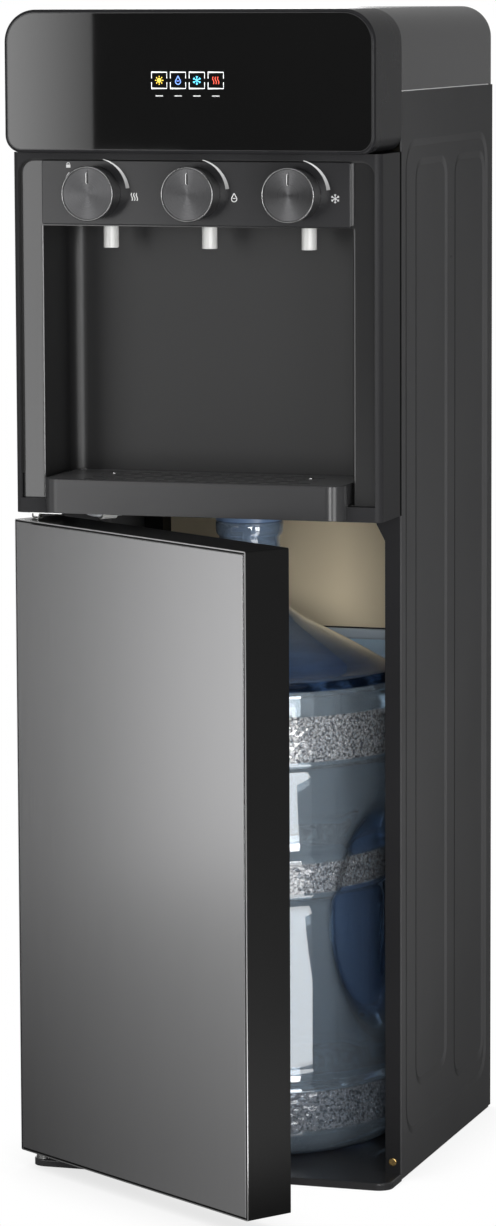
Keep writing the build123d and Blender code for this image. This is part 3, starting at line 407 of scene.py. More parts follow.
def grille_plastic(name, colour, roughness):
    # Satin on the top face, black down in the slots as painted shade
    material, tree, shader = new_material(name)
    place = object_place(tree)
    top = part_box("drip_grille")[1].z
    face = remap(tree, axes(tree, place)["Z"], 0.0, 1.0, top - 0.06 * MM, top - 0.02 * MM)
    tone = drifting(tree, add_noise(tree, place, SLOW_DRIFT), colour, 0.10)
    # Below the top face the slots are painted near black as shade
    tree.links.new(mix_colours(tree, face, (0.002, 0.002, 0.002), tone), shader.inputs["Base Color"])
    tree.links.new(mix_values(tree, face, 0.9, roughness), shader.inputs["Roughness"])
    add_bump(tree, shader, add_noise(tree, place, FINE_GRAIN, 2.0), 0.006 * MM)
    return material


def two_sided(name, inside, outside):
    # Rear sheet: pale paint towards the bay, bare zinc towards the room
    material, tree, shader = new_material(name)
    place = object_place(tree)
    low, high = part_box("rear_panel_lower")
    mask = remap(tree, axes(tree, place)["Y"], 0.0, 1.0, low.y + 0.1 * MM, high.y - 0.1 * MM)
    mottle = add_noise(tree, place, 45.0, 5.0)
    paint = drifting(tree, mottle, inside, 0.04)
    zinc = drifting(tree, mottle, outside, 0.15)
    tree.links.new(mix_colours(tree, mask, paint, zinc), shader.inputs["Base Color"])
    tree.links.new(mask, shader.inputs["Metallic"])
    tree.links.new(remap(tree, mottle, 0.40, 0.55), shader.inputs["Roughness"])
    return material


def edged(name):
    # Black door plastic with a silver face on the thin lip around the front
    material, tree, shader = new_material(name)
    swing = [joint for joint in frame["joints"] if joint["name"] == "door_swing"][0]
    angle = math.radians(swing["range_deg"][0])
    facing = Vector((math.sin(angle), -math.cos(angle), 0.0))
    place = object_place(tree)
    reach = vector_step(tree, "DOT_PRODUCT", place, facing)
    lip = combine(tree, "GREATER_THAN", reach, Vector(swing["pos_m"]).dot(facing) + LIP_FROM * MM)
    slow = add_noise(tree, place, SLOW_DRIFT)
    black = drifting(tree, slow, (0.006, 0.006, 0.006), 0.10)
    tree.links.new(mix_colours(tree, lip, black, (0.62, 0.62, 0.62)), shader.inputs["Base Color"])
    tree.links.new(lip, shader.inputs["Metallic"])
    tree.links.new(mix_values(tree, lip, 0.42, 0.30), shader.inputs["Roughness"])
    shader.inputs["Specular IOR Level"].default_value = 0.10
    add_bump(tree, shader, add_noise(tree, place, FINE_GRAIN, 2.0), 0.01 * MM)
    return material


def lit(name, colour, strength):
    # A lamp's light behind a printed film
    material, tree, shader = new_material(name)
    tone = drifting(tree, add_noise(tree, object_place(tree), 500.0), colour, 0.10)
    tree.links.new(tone, shader.inputs["Base Color"])
    tree.links.new(tone, shader.inputs["Emission Color"])
    shader.inputs["Emission Strength"].default_value = strength
    shader.inputs["Roughness"].default_value = 0.4
    return material


def arc_finish():
    # Print that fades from pale at the top of the arc to grey at its foot
    material, tree, shader = new_material("arc_print")
    low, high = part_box("knob_face_hot")
    height = axes(tree, object_place(tree))["Z"]
    fade = remap(tree, height, 0.0, 1.0, (low.z + high.z) / 2, high.z + ARC_TOP * MM)
    tone = mix_colours(tree, fade, (0.16, 0.16, 0.16), (0.66, 0.66, 0.66))
    tree.links.new(tone, shader.inputs["Base Color"])
    shader.inputs["Roughness"].default_value = 0.5
    return material


finishes = {
    "panel_paint": pressed_sheet("panel_paint", (0.058, 0.058, 0.059), 0.55),
    "body_plastic": moulded("body_plastic", (0.026, 0.026, 0.027), 0.22, FINE_GRAIN, 0.004, specular=0.30),
    "alcove_plastic": alcove_plastic("alcove_plastic"),
    "display_gloss": moulded("display_gloss", (0.004, 0.004, 0.004), 0.02, 60.0, 0.0003, 0.2),
    "grille_plastic": grille_plastic("grille_plastic", (0.085, 0.085, 0.087), 0.30),
    "black_steel": moulded("black_steel", (0.008, 0.008, 0.009), 0.42, 1100.0, 0.012, specular=0.25),
    "door_steel": hairline("door_steel", (0.50, 0.50, 0.505), 0.22, (2500, 2500, 12)),
    "door_plastic": moulded("door_plastic", (0.006, 0.006, 0.006), 0.42, FINE_GRAIN, 0.01, specular=0.35),
    "liner_plastic": moulded("liner_plastic", (0.060, 0.060, 0.062), 0.45, 1200.0, 0.02),
    "galvanised": plated("galvanised", (0.52, 0.54, 0.57), 0.42, 45.0, 0.12),
    "rear_board": moulded("rear_board", (0.80, 0.68, 0.47), 0.55, 350.0, 0.03, 0.05),
    "rubber": moulded("rubber", (0.012, 0.012, 0.012), 0.75, 600.0, 0.03),
    "hinge_steel": plated("hinge_steel", (0.62, 0.62, 0.61), 0.28),
    "brass": plated("brass", (0.72, 0.50, 0.20), 0.25),
    "bush_nylon": moulded("bush_nylon", (0.52, 0.52, 0.50), 0.40, 700.0, 0.02),
    "magnet": moulded("magnet", (0.03, 0.03, 0.03), 0.7, 500.0, 0.03),
    "bottle_clear": bottle_plastic("bottle_clear"),
    "water": clear("water", (0.93, 0.96, 0.98), 0.01, 1.33),
    "probe_white": moulded("probe_white", (0.58, 0.60, 0.62), 0.38, 700.0, 0.02),
    "foam": moulded("foam", (0.62, 0.58, 0.46), 0.85, 260.0, 0.20, 0.12),
    "copper": plated("copper", (0.70, 0.34, 0.18), 0.3),
    "board_green": moulded("board_green", (0.02, 0.12, 0.05), 0.35, 300.0, 0.03),
    "drain_plastic": moulded("drain_plastic", (0.45, 0.45, 0.44), 0.45, 700.0, 0.02),
    "switch_black": moulded("switch_black", (0.014, 0.014, 0.014), 0.45, 900.0, 0.02),
    "switch_red": moulded("switch_red", (0.45, 0.02, 0.02), 0.25, 300.0, 0.005),
    "switch_green": moulded("switch_green", (0.02, 0.28, 0.08), 0.25, 300.0, 0.005),
    "valve_plastic": moulded("valve_plastic", (0.50, 0.50, 0.49), 0.45, 700.0, 0.02),
    "nozzle_white": moulded("nozzle_white", (0.47, 0.47, 0.46), 0.30, 700.0, 0.004, 0.02),
    "knob_plastic": moulded("knob_plastic", (0.016, 0.016, 0.017), 0.30, FINE_GRAIN, 0.006),
    "spun_metal": spun("spun_metal", (0.075, 0.075, 0.077), 0.32),
}
# Nodes whose finish differs a little from the rest of their slot
special = {
    "front_fascia": fascia_satin("fascia_satin", (0.020, 0.020, 0.021), 0.34),
    "control_panel": moulded("control_satin", (0.015, 0.015, 0.016), 0.20, FINE_GRAIN, 0.002, specular=0.32),
    "head_frame": moulded("head_satin", (0.014, 0.014, 0.015), 0.28, FINE_GRAIN, 0.004, specular=0.08),
    "top_cover": moulded("cover_satin", (0.028, 0.028, 0.029), 0.22, FINE_GRAIN, 0.004, specular=0.42),
    "rear_panel_lower": two_sided("rear_sheet", (0.62, 0.82, 1.0), (0.46, 0.48, 0.50)),
    "liner_edge_bar": moulded("bar_paint", (0.55, 0.64, 0.72), 0.35, 500.0, 0.01),
    "door_frame": edged("door_edge"),
    "bottle_probe": moulded("cap_blue", (0.13, 0.20, 0.33), 0.30, 700.0, 0.01),
}
print_pale = moulded("print_pale", (0.62, 0.62, 0.62), 0.5, 900.0, 0.004)
trim_bright = plated("trim_bright", (0.75, 0.75, 0.75), 0.25)
ring_metal = plated("ring_metal", (0.30, 0.30, 0.30), 0.30)


def dress_nodes():
    for row in frame["record"]["subparts"]:
        for place in nodes[row["node"]].material_slots:
            place.material = special.get(row["node"], finishes[row["material_slot"]])


# Outlines in the plane of the front, in millimetres

def stroke(points, width):
    # Outline of a line drawn with a pen of one width
    left, right = [], []
    for n, (x, z) in enumerate(points):
        before = points[max(n - 1, 0)]
        after = points[min(n + 1, len(points) - 1)]
        along = Vector((after[0] - before[0], after[1] - before[1])).normalized()
        reach = width / 2
        if 0 < n < len(points) - 1:
            leg = Vector((x - before[0], z - before[1])).normalized()
            reach /= max(0.5, abs(leg.dot(along)))
        left.append((x - along.y * reach, z + along.x * reach))
        right.append((x + along.y * reach, z - along.x * reach))
    return left + right[::-1]


def round_points(radius, start, step, count):
    # Points on a circle, with angles in degrees
    angles = [math.radians(start + n * step) for n in range(count)]
    return [(radius * math.cos(a), radius * math.sin(a)) for a in angles]


def quarter(radius, start):
    # A quarter of a circle, for rounded corners
    return round_points(radius, start, 11.25, 9)


def bar(x, z, half_length, half_width):
    # Flat bar with round ends, lying along x
    straight = half_length - half_width
    ends = round_points(half_width, -90, 36, 6)
    right = [(x + straight + a, z + b) for a, b in ends]
    return right + [(x - straight - a, z - b) for a, b in ends]


def upright(x, z, half_length, half_width):
    return [(x - b, z + a) for a, b in bar(0.0, 0.0, half_length, half_width)]


def moved(outline, x, z, size=1.0):
    return [(x + size * a, z + size * b) for a, b in outline]


# Mesh helpers

# Thickness of the prints, in millimetres
PRINT_THICK = 0.06
# Lathe: a smaller radius closes an end, and points nearer than this are merged, in metres
NO_RADIUS = 1e-7
SAME_POINT = 1e-6


def finish_piece(name, mesh, material, body, smooth=True):
    if smooth:
        mesh.polygons.foreach_set("use_smooth", [True] * len(mesh.polygons))
    mesh.materials.append(material)
    piece = bpy.data.objects.new(name, mesh)
    bpy.context.scene.collection.objects.link(piece)
    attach(piece, body)
    return piece


def mesh_data(name, mesh):
    bmesh.ops.recalc_face_normals(mesh, faces=mesh.faces)
    data = bpy.data.meshes.new(name)
    mesh.to_mesh(data)
    mesh.free()
    return data


def loop(mesh, outline, y):
    return [mesh.verts.new((x * MM, y, z * MM)) for x, z in outline]


def wall(mesh, first, second):
    # Faces between two closed loops that have the same number of points
    for n in range(len(first)):
        m = (n + 1) % len(first)
        mesh.faces.new((first[n], first[m], second[m], second[n]))


def ring_print(name, outer, inner, y, material, body, thick):
    # A closed flat ring between two outlines that have the same number of points
    mesh = bmesh.new()
    front = y - thick * MM
    corners = ((outer, y), (outer, front), (inner, front), (inner, y))
    loops = [loop(mesh, outline, depth) for outline, depth in corners]
    for first, second in zip(loops, loops[1:] + loops[:1]):
        wall(mesh, first, second)
    return finish_piece(name, mesh_data(name, mesh), material, body, smooth=False)


def prints(name, outlines, y, material, body, thick=PRINT_THICK):
    # Thin raised prints on a face that looks to the front; outlines are in millimetres, y in metres
    mesh = bmesh.new()
    for outline in outlines:
        back = loop(mesh, outline, y)
        front = loop(mesh, outline, y - thick * MM)
        mesh.faces.new(front)
        mesh.faces.new(back[::-1])
        wall(mesh, back, front)
    return finish_piece(name, mesh_data(name, mesh), material, body, smooth=False)


def in_metres(section):
    return [(r * MM, z * MM) for r, z in section]


def lathe(name, profile, segments, origin, axis="Z", lift=None):
    # Turns (radius, height) points about an axis; a radius of 0 closes an end
    mesh = bmesh.new()
    turn = 2 * math.pi / segments

    def place(radius, height, angle):
        a, b = radius * math.cos(angle), radius * math.sin(angle)
        return origin + (Vector((a, b, height)) if axis == "Z" else Vector((a, -height, b)))

    rows = []
    for radius, height in profile:
        if radius < NO_RADIUS:
            rows.append([mesh.verts.new(place(0, height, 0))])
            continue
        row = []
        for n in range(segments):
            angle = n * turn
            extra = lift(radius, height, angle) if lift else 0.0
            row.append(mesh.verts.new(place(radius + extra, height, angle)))
        rows.append(row)
    for low, high in zip(rows, rows[1:]):
        for n in range(segments):
            m = (n + 1) % segments
            corners = [low[n % len(low)], low[m % len(low)], high[m % len(high)], high[n % len(high)]]
            mesh.faces.new(list(dict.fromkeys(corners)))
    bmesh.ops.remove_doubles(mesh, verts=mesh.verts, dist=SAME_POINT)
    return mesh_data(name, mesh)


# Display

# Scale of the icons inside their frames
GLYPH_SIZE = 0.82
# Sizes in millimetres
ICON_PITCH = 15.75
FRAME_REACH = 6.4
FRAME_GAP = 1.5
FRAME_LINE = 0.6
DASH_DROP = 12.3
DASH_HALF_LENGTH = 3.2
DASH_HALF_WIDTH = 0.4
RIM_WIDTH = 0.6
RIM_INSET = 0.1
RIM_THICK = 0.1
RIM_LOW_CORNER = 11.6
RIM_HIGH_CORNER = 23.6


def icon_frame():
    reach, gap = FRAME_REACH, FRAME_GAP
    upper = [(-reach, gap), (-reach, reach), (reach, reach), (reach, gap)]
    lower = [(x, -z) for x, z in upper]
    return [stroke(upper, FRAME_LINE), stroke(lower, FRAME_LINE)]


def icon_sun():
    starts, ends = round_points(2.9, 0, 45, 8), round_points(4.3, 0, 45, 8)
    rays = [stroke([start, end], 0.8) for start, end in zip(starts, ends)]
    return [round_points(2.2, 0, 18, 20)] + rays


def icon_drop():
    # Two sides of a drop and a level line inside it
    right = [(0.0, 4.2)] + moved(round_points(2.6, 25, -115 / 8, 9), 0.0, -1.2)
    left = [(-x, z) for x, z in right]
    return [stroke(right, 0.8), stroke(left, 0.8), stroke([(-1.4, -0.6), (1.4, -0.6)], 0.7)]


def icon_flake():
    arms = []
    for n in range(3):
        angle = n * math.pi / 3 + math.pi / 6
        c, s = math.cos(angle), math.sin(angle)
        arms.append(stroke([(-4.3 * c, -4.3 * s), (4.3 * c, 4.3 * s)], 0.65))
        for side in (-1, 1):
            for spread in (-0.6, 0.6):
                c2, s2 = math.cos(angle + spread), math.sin(angle + spread)
                start = (2.4 * side * c, 2.4 * side * s)
                arms.append(stroke([start, (start[0] + 1.7 * side * c2, start[1] + 1.7 * side * s2)], 0.5))
    return arms


def icon_heat():
    waves = []
    for x in (-2.5, 0.0, 2.5):
        line = [(x + 0.7 * math.sin(n * math.pi / 5), -3.6 + 0.72 * n) for n in range(11)]
        waves.append(stroke(line, 0.85))
    return waves


def rounded(half, foot, top, low_corner, high_corner):
    # Closed outline with one corner radius below and another above
    low = moved(quarter(low_corner, -90), half - low_corner, foot + low_corner)
    high = moved(quarter(high_corner, 0), half - high_corner, top - high_corner)
    right = low + high
    return right + [(-x, z) for x, z in right[::-1]]


def add_display_rim(low, high):
    # Thin satin line around the edge of the display
    half, foot, top = high.x / MM - RIM_INSET, low.z / MM + RIM_INSET, high.z / MM - RIM_INSET
    outer = rounded(half, foot, top, RIM_LOW_CORNER, RIM_HIGH_CORNER)
    inner = rounded(half - RIM_WIDTH, foot + RIM_WIDTH, top - RIM_WIDTH,
                    RIM_LOW_CORNER - RIM_WIDTH, RIM_HIGH_CORNER - RIM_WIDTH)
    satin = finishes["body_plastic"]
    ring_print("display_rim", outer, inner, low.y, satin, "cabinet", RIM_THICK)


def add_display():
    low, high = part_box("display_plate")
    y = low.y
    add_display_rim(low, high)
    z = middle(*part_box("display_board")).z
    places = [(n - 1.5) * ICON_PITCH for n in range(4)]
    frames = [moved(part, x, z) for x in places for part in icon_frame()]
    prints("icon_frames", frames, y, lit("icon_white", (0.80, 0.82, 0.84), 0.5), "cabinet")
    icons = {
        "sun": ((0.85, 0.58, 0.06), icon_sun()),
        "drop": ((0.16, 0.30, 0.95), icon_drop()),
        "flake": ((0.12, 0.62, 0.90), icon_flake()),
        "heat": ((0.62, 0.06, 0.03), icon_heat()),
    }
    for x, (name, (colour, parts)) in zip(places, icons.items()):
        outlines = [moved(part, x, z, GLYPH_SIZE) for part in parts]
        prints("icon_" + name, outlines, y, lit("icon_" + name, colour, 0.9), "cabinet")
    dashes = [bar(x, z - DASH_DROP, DASH_HALF_LENGTH, DASH_HALF_WIDTH) for x in places]
    prints("icon_dashes", dashes, y, print_pale, "cabinet")


# Control panel, with sizes in millimetres and angles in degrees

ARC_RADIUS = 27.6
ARC_START = 14.0
ARC_SWEEP = 68.0
ARC_NARROW = 0.5
ARC_GROWTH = 2.6
ARC_STEPS = 24
# How far above the knob's face the arc is palest
ARC_TOP = 6.0
MARK_RIGHT = 33.0
MARK_DROP = 3.0
MARK_SIZE = 0.85
LOCK_LEFT = 23.0
LOCK_RISE = 21.5
TICK_RADIUS = 27.2
TICK_WIDTH = 1.6
# The pointer's slot, a black print of painted shade, and the painted highlight along its edge
SLOT_SHIFT = 0.1
SLOT_INSET = 3.6
SLOT_HALF_LENGTH = 4.3
SLOT_HALF_WIDTH = 0.6
SLOT_HIGHLIGHT_WIDTH = 0.42
SLOT_HIGHLIGHT = [(0.1, 0.25), (-0.75, -0.6), (-0.75, -8.0), (0.1, -8.85)]
RING_SECTION = [(20.85, 0.0), (20.95, 0.25), (21.25, 0.38), (21.55, 0.25), (21.65, 0.0), (20.85, 0.0)]
RING_SEGMENTS = 96


def volume_arc():
    # A crescent that widens clockwise around a knob
    inner, outer = [], []
    for n in range(ARC_STEPS + 1):
        share = n / ARC_STEPS
        angle = math.radians(ARC_START + ARC_SWEEP * share)
        reach = (ARC_NARROW + ARC_GROWTH * share) / 2
        for radius, side in ((ARC_RADIUS - reach, inner), (ARC_RADIUS + reach, outer)):
            side.append((radius * math.sin(angle), radius * math.cos(angle)))
    return inner + outer[::-1]


def lock_mark():
    case = [(-1.8, -1.6), (1.8, -1.6), (1.8, 0.9), (-1.8, 0.9)]
    shackle = moved(round_points(1.15, 0, 22.5, 9), 0.0, 1.3)
    return [case, stroke(shackle, 0.6)]


def add_control_prints():
    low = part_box("control_panel")[0]
    arcs, marks = [], []
    for tap, symbol in zip(TAPS, (icon_heat(), icon_drop(), icon_flake())):
        x, z = middle(*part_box("knob_face_" + tap)).xz
        arcs.append(moved(volume_arc(), x, z))
        marks += [moved(part, x + MARK_RIGHT, z - MARK_DROP, MARK_SIZE) for part in symbol]
        if tap == "hot":
            marks += [moved(part, x - LOCK_LEFT, z + LOCK_RISE) for part in lock_mark()]
            tick = [(-a, b) for a, b in round_points(TICK_RADIUS, 24, 4, 4)]
            marks.append(moved(stroke(tick, TICK_WIDTH), x, z))
    prints("volume_arcs", arcs, low.y, arc_finish(), "cabinet")
    prints("tap_marks", marks, low.y, print_pale, "cabinet")


def add_knob_details():
    # Bright ring around each knob's face, the pointer's slot painted black as shade, and a painted highlight on
    # the slot's edge
    for tap in TAPS:
        low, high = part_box("knob_face_" + tap)
        x, z = middle(low, high).xz
        body = tap + "_knob"
        place = Vector((x * MM, low.y, z * MM))
        ring = lathe("knob_ring_" + tap, in_metres(RING_SECTION), RING_SEGMENTS, place, axis="Y")
        finish_piece("knob_ring_" + tap, ring, ring_metal, body)
        top = high.z / MM - SLOT_INSET
        # The slot is a black print of painted shade
        slot = upright(x + SLOT_SHIFT, top - SLOT_HALF_LENGTH, SLOT_HALF_LENGTH, SLOT_HALF_WIDTH)
        prints("knob_slot_shade_" + tap, [slot], low.y, finishes["rubber"], body)
        # Painted highlight along the slot's edge
        edge = stroke(moved(SLOT_HIGHLIGHT, x, top), SLOT_HIGHLIGHT_WIDTH)
        prints("knob_edge_highlight_" + tap, [edge], low.y, print_pale, body)


# Bottle, with sizes in millimetres

BOTTLE_WALL = 2.0
WATER_GAP = 0.4
# Steps along the section: fine on the pebbled rings and just below them, coarse elsewhere
FINE_STEP = 1.6
FINE_BELOW = 5.0
COARSE_STEP = 9.0
INNER_STEP = 18.0
BOTTLE_SEGMENTS = 480
# Pebbles: height, waves per millimetre, and the margin of a ring over which they rise
PEBBLE_HEIGHT = 0.6
PEBBLE_PITCH = 0.27
PEBBLE_MARGIN = 4.0
# Grip pocket: middle and half width as angles, middle and half height, depth,
# the radius above which it is cut, and the share of it that slopes
GRIP_ANGLE = math.radians(-12.0)
GRIP_SPREAD = math.radians(32.0)
GRIP_MIDDLE = 200.0
GRIP_REACH = 105.0
GRIP_DEPTH = 13.0
GRIP_FROM = 120.0
GRIP_SLOPE = 0.30
# Half section from the foot to the bead
BOTTLE_OUTLINE = [
    (112.0, 6.0), (120.0, 7.2), (127.0, 12.0), (131.5, 19.0), (133.0, 26.0), (133.0, 64.0),
    (131.0, 68.0), (129.0, 72.0), (129.0, 219.0), (131.0, 223.0), (133.0, 226.5), (133.0, 257.5),
    (131.0, 261.0), (129.0, 265.0), (129.0, 329.0), (131.0, 333.0), (133.0, 336.5), (133.0, 394.0),
    (132.0, 397.5), (129.5, 399.5), (128.6, 401.5), (127.5, 404.0), (113.0, 408.5), (80.0, 426.0),
    (46.0, 443.5), (34.0, 452.0), (28.0, 461.0), (26.0, 470.0), (26.0, 513.5), (28.0, 515.5),
    (28.6, 518.0), (28.6, 525.0), (27.8, 527.0),
]
BOTTLE_BASE = [(0.0, 22.0), (40.0, 20.0), (80.0, 13.0), (104.0, 6.6)]
INNER_BASE = [(0.0, 24.0), (40.0, 22.0), (80.0, 15.0), (104.0, 9.0)]
BOTTLE_MOUTH = [(26.0, 527.0), (22.0, 526.0), (22.0, 514.0)]
INNER_TOP = 512.0


def resampled(points, step_at):
    # Walks along the section with a step that depends on the height
    out = [points[0]]
    for (r0, z0), (r1, z1) in zip(points, points[1:]):
        length = math.hypot(r1 - r0, z1 - z0)
        count = max(1, round(length / step_at((z0 + z1) / 2)))
        out += [(r0 + (r1 - r0) * n / count, z0 + (z1 - z0) * n / count) for n in range(1, count + 1)]
    return out


def in_texture(z):
    # Share of the grain at this height: 0 off the rings, rising to 1 inside them
    for low, high in TEXTURED:
        edge = min(z - low, high - z)
        if edge > 0:
            return min(1.0, edge / PEBBLE_MARGIN)
    return 0.0


def pebbles(radius, height, angle):
    # Height of the moulded pebble grain on the bottle's rings
    share = in_texture(height / MM)
    if share == 0.0:
        return 0.0
    point = Vector((radius * math.cos(angle), radius * math.sin(angle), height)) / MM
    return share * PEBBLE_HEIGHT * noise.noise(point * PEBBLE_PITCH) * MM


def grip(radius, height, angle):
    # Depth of the hand hold moulded into the bottle's right side
    if radius < GRIP_FROM * MM:
        return 0.0
    turn = (angle - GRIP_ANGLE + math.pi) % (2 * math.pi) - math.pi
    off = math.hypot(turn / GRIP_SPREAD, (height / MM - GRIP_MIDDLE) / GRIP_REACH)
    share = min(1.0, max(0.0, (1.0 - off) / GRIP_SLOPE))
    return -GRIP_DEPTH * MM * share * share * (3 - 2 * share)


def outer_step(z):
    return FINE_STEP if in_texture(z) or in_texture(z + FINE_BELOW) else COARSE_STEP


def bottle_foot():
    low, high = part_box("water_bottle")
    return Vector(((low.x + high.x) / 2, (low.y + high.y) / 2, 0.0))


def add_bottle(origin):
    inner = [(r - BOTTLE_WALL, z) for r, z in BOTTLE_OUTLINE if z < INNER_TOP]
    outside = BOTTLE_BASE + resampled(BOTTLE_OUTLINE, outer_step) + BOTTLE_MOUTH
    inside = resampled(inner, lambda z: INNER_STEP)[::-1] + INNER_BASE[::-1]
    outer_skin = (max(r for r, z in BOTTLE_OUTLINE) - BOTTLE_WALL / 2) * MM

    def lift(radius, height, angle):
        grain = pebbles(radius, height, angle) if radius > outer_skin else 0.0
        return grain + grip(radius, height, angle)

    mesh = lathe("bottle", in_metres(outside + inside), BOTTLE_SEGMENTS, origin, lift=lift)
    bottle = finish_piece("bottle", mesh, finishes["bottle_clear"], "cabinet")
    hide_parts("water_bottle")


def add_water(origin):
    inset = BOTTLE_WALL + WATER_GAP
    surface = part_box("bottle_water")[1].z / MM
    wet = [(r - inset, z) for r, z in BOTTLE_OUTLINE if z < surface]
    wet_base = [(r, z + WATER_GAP) for r, z in INNER_BASE[:-1]] + [(104.0, 9.6)]
    rim = wet[-1][0]
    meniscus = [(rim, surface), (rim - 1.5, surface - 0.8), (rim - 6.0, surface - 1.2), (0.0, surface - 1.2)]
    section = wet_base + resampled(wet, lambda z: COARSE_STEP) + meniscus
    mesh = lathe("water", in_metres(section), BOTTLE_SEGMENTS // 2, origin, lift=grip)
    water = finish_piece("water", mesh, finishes["water"], "cabinet")
    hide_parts("bottle_water")


# Small trim, with sizes in millimetres

STUD_SPREAD = 84.0
STUD_BACK = 14.0
STUD_DOME = [(0.0, 0.0), (2.4, 0.0), (2.3, 0.5), (1.7, 1.0), (0.9, 1.25), (0.0, 1.35)]
STUD_SEGMENTS = 32
# Shares of the step behind the head that the black strip of painted shade fills, at its foot and at its top
STEP_FILL = 0.9
STEP_TAPER = 0.3
# Foot, shoulder and top of the head's black strip of painted shade and of the cover's pale strip of painted
# highlight, over the underside of the cover
HEAD_STEP_SHADE = (0.1, 36.0, 40.0)
COVER_HIGHLIGHT = (0.05, 0.5, 0.75)
HEAD_STEP_SHADE_DEPTH = 0.8
COVER_HIGHLIGHT_FRONT = 1.0
COVER_HIGHLIGHT_SHORTER = 14.0
# Fascia window: black lining of painted shade on the inner wall of the rim, and a strip of painted shadow on the
# flange
SHADE_LINING = 0.4
SHADE_LINING_GAP = 0.05
SHADE_LINING_FOOT = 2.0
SHADE_LINING_FRONT = 0.9
SHADOW_GAP = 1.4
SHADOW_THICK = 0.2
WINDOW_RIM = 5.2
WINDOW_CORNER = 12.0
SEAL_HALF_WIDTH = 0.65
SEAL_THICK = 0.6


def add_grille_studs():
    low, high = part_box("drip_grille")
    y = middle(low, high).y + STUD_BACK
    for name, side in (("grille_stud_left", -1), ("grille_stud_right", 1)):
        place = Vector((side * STUD_SPREAD * MM, y * MM, high.z))
        mesh = lathe(name, in_metres(STUD_DOME), STUD_SEGMENTS, place)
        finish_piece(name, mesh, trim_bright, "grille")


def add_seams():
    # Black strip of painted shade in the step behind the head, and a pale strip of painted highlight on the edge
    # under the top cover
    low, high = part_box("top_cover")
    reach = (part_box("head_frame")[1].x - high.x) / MM
    z0 = low.z / MM
    step_shades, highlights = [], []
    for side in (-1, 1):
        x0 = (high.x if side > 0 else low.x) / MM
        x1 = x0 + side * reach * STEP_FILL
        taper = x0 + side * reach * STEP_TAPER
        for outlines, (foot, shoulder, top) in ((step_shades, HEAD_STEP_SHADE), (highlights, COVER_HIGHLIGHT)):
            outline = [(x0, foot), (x1, foot), (x1, shoulder), (taper, top), (x0, top)]
            outlines.append(moved(outline, 0.0, z0))
    back = low.y + HEAD_STEP_SHADE_DEPTH * MM
    black = finishes["rubber"]
    # Black strips of painted shade in the step behind the head
    prints("head_step_shades", step_shades, back, black, "cabinet", thick=HEAD_STEP_SHADE_DEPTH)
    length = (high.y - low.y) / MM - COVER_HIGHLIGHT_SHORTER
    back = low.y + (length + COVER_HIGHLIGHT_FRONT) * MM
    # Pale strips of painted highlight along the edge under the cover
    prints("cover_highlights", highlights, back, print_pale, "cabinet", thick=length)


def arch(half, foot, top, corner):
    # Path up one side, over the top and down the other, with rounded corners
    right = moved(quarter(corner, 0), half - corner, top - corner)
    left = [(-x, z) for x, z in right[::-1]]
    return [(half, foot)] + right + left + [(-half, foot)]


def add_fascia_shade_lining():
    # Black lining of painted shade around the window of the fascia, above the drip tray, and a black strip of
    # painted shadow on its flange
    low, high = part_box("front_fascia")
    half = high.x / MM - WINDOW_RIM
    top = high.z / MM - WINDOW_RIM
    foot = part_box("drip_tray")[1].z / MM + SHADE_LINING_FOOT
    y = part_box("alcove_liner")[0].y
    depth = (y - low.y) / MM - SHADE_LINING_FRONT
    black = finishes["rubber"]
    inset = SHADE_LINING / 2 + SHADE_LINING_GAP
    path = arch(half - inset, foot, top - inset, WINDOW_CORNER - SHADE_LINING / 2)
    # Black lining of painted shade on the inner wall of the rim
    prints("fascia_shade_lining", [stroke(path, SHADE_LINING)], y, black, "cabinet", thick=depth)
    inset = SHADE_LINING + SHADE_LINING_GAP + SHADOW_GAP / 2
    path = arch(half - inset, foot, top - inset, WINDOW_CORNER - inset)
    shadow = stroke(path, SHADOW_GAP)
    prints("fascia_shadow_gap", [shadow], y, black, "cabinet", thick=SHADOW_THICK)


def add_liner_line():
    # Black seal on the rear liner, just above its edge bar
    low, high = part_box("liner_edge_bar")
    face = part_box("rear_liner")[0].y
    half_length = (high.x - low.x) / 2 / MM
    seal = bar(middle(low, high).x, high.z / MM + SEAL_HALF_WIDTH, half_length, SEAL_HALF_WIDTH)
    prints("liner_seal", [seal], face, finishes["rubber"], "cabinet", thick=SEAL_THICK)


# Stage, with sizes in metres

# The high card's right edge: where its glow starts and peaks, as shares of the card's width,
# then its strength at the peak and at the rim
EDGE_START = 0.80
EDGE_PEAK = 0.922
EDGE_GLOW = 1.55
EDGE_RIM = 0.33
# The backdrop's light, then what reflections see of it in front and behind, and where that changes
WORLD_LIGHT = 0.25
GLOSS_FRONT = 0.05
GLOSS_BACK = 0.34
GLOSS_RAMP = (-0.35, 0.6)
FLOOR_REACH = 6.0
# The contact shadow: how far it reaches, then its two levels and the shares of open sky between them
CONTACT_REACH = 0.12
CONTACT_SHADE = (0.72, 1.0, 0.0, 0.75)
# The floor in reflections, painted darker towards the object as its shade and brighter further out in front: two
# levels, then the two places between which they change
FLOOR_ACROSS = (0.25, 0.17, -1.4, -0.2)
FLOOR_ALONG = (2.4, 0.4, -0.5, -0.15)
FLOOR_RIGHT = (0.0, 1.0, 0.1, 0.2)
FLOOR_RIGHT_GLOSS = 0.15


def area_light(name, place, target, width, height, radiance):
    data = bpy.data.lights.new(name, "AREA")
    data.shape = "RECTANGLE"
    data.size = width
    data.size_y = height
    data.energy = radiance * math.pi * width * height
    lamp = bpy.data.objects.new(name, data)
    bpy.context.scene.collection.objects.link(lamp)
    lamp.location = place
    lamp.rotation_euler = (Vector(target) - Vector(place)).to_track_quat("-Z", "Y").to_euler()
    lamp.visible_camera = False
    return lamp


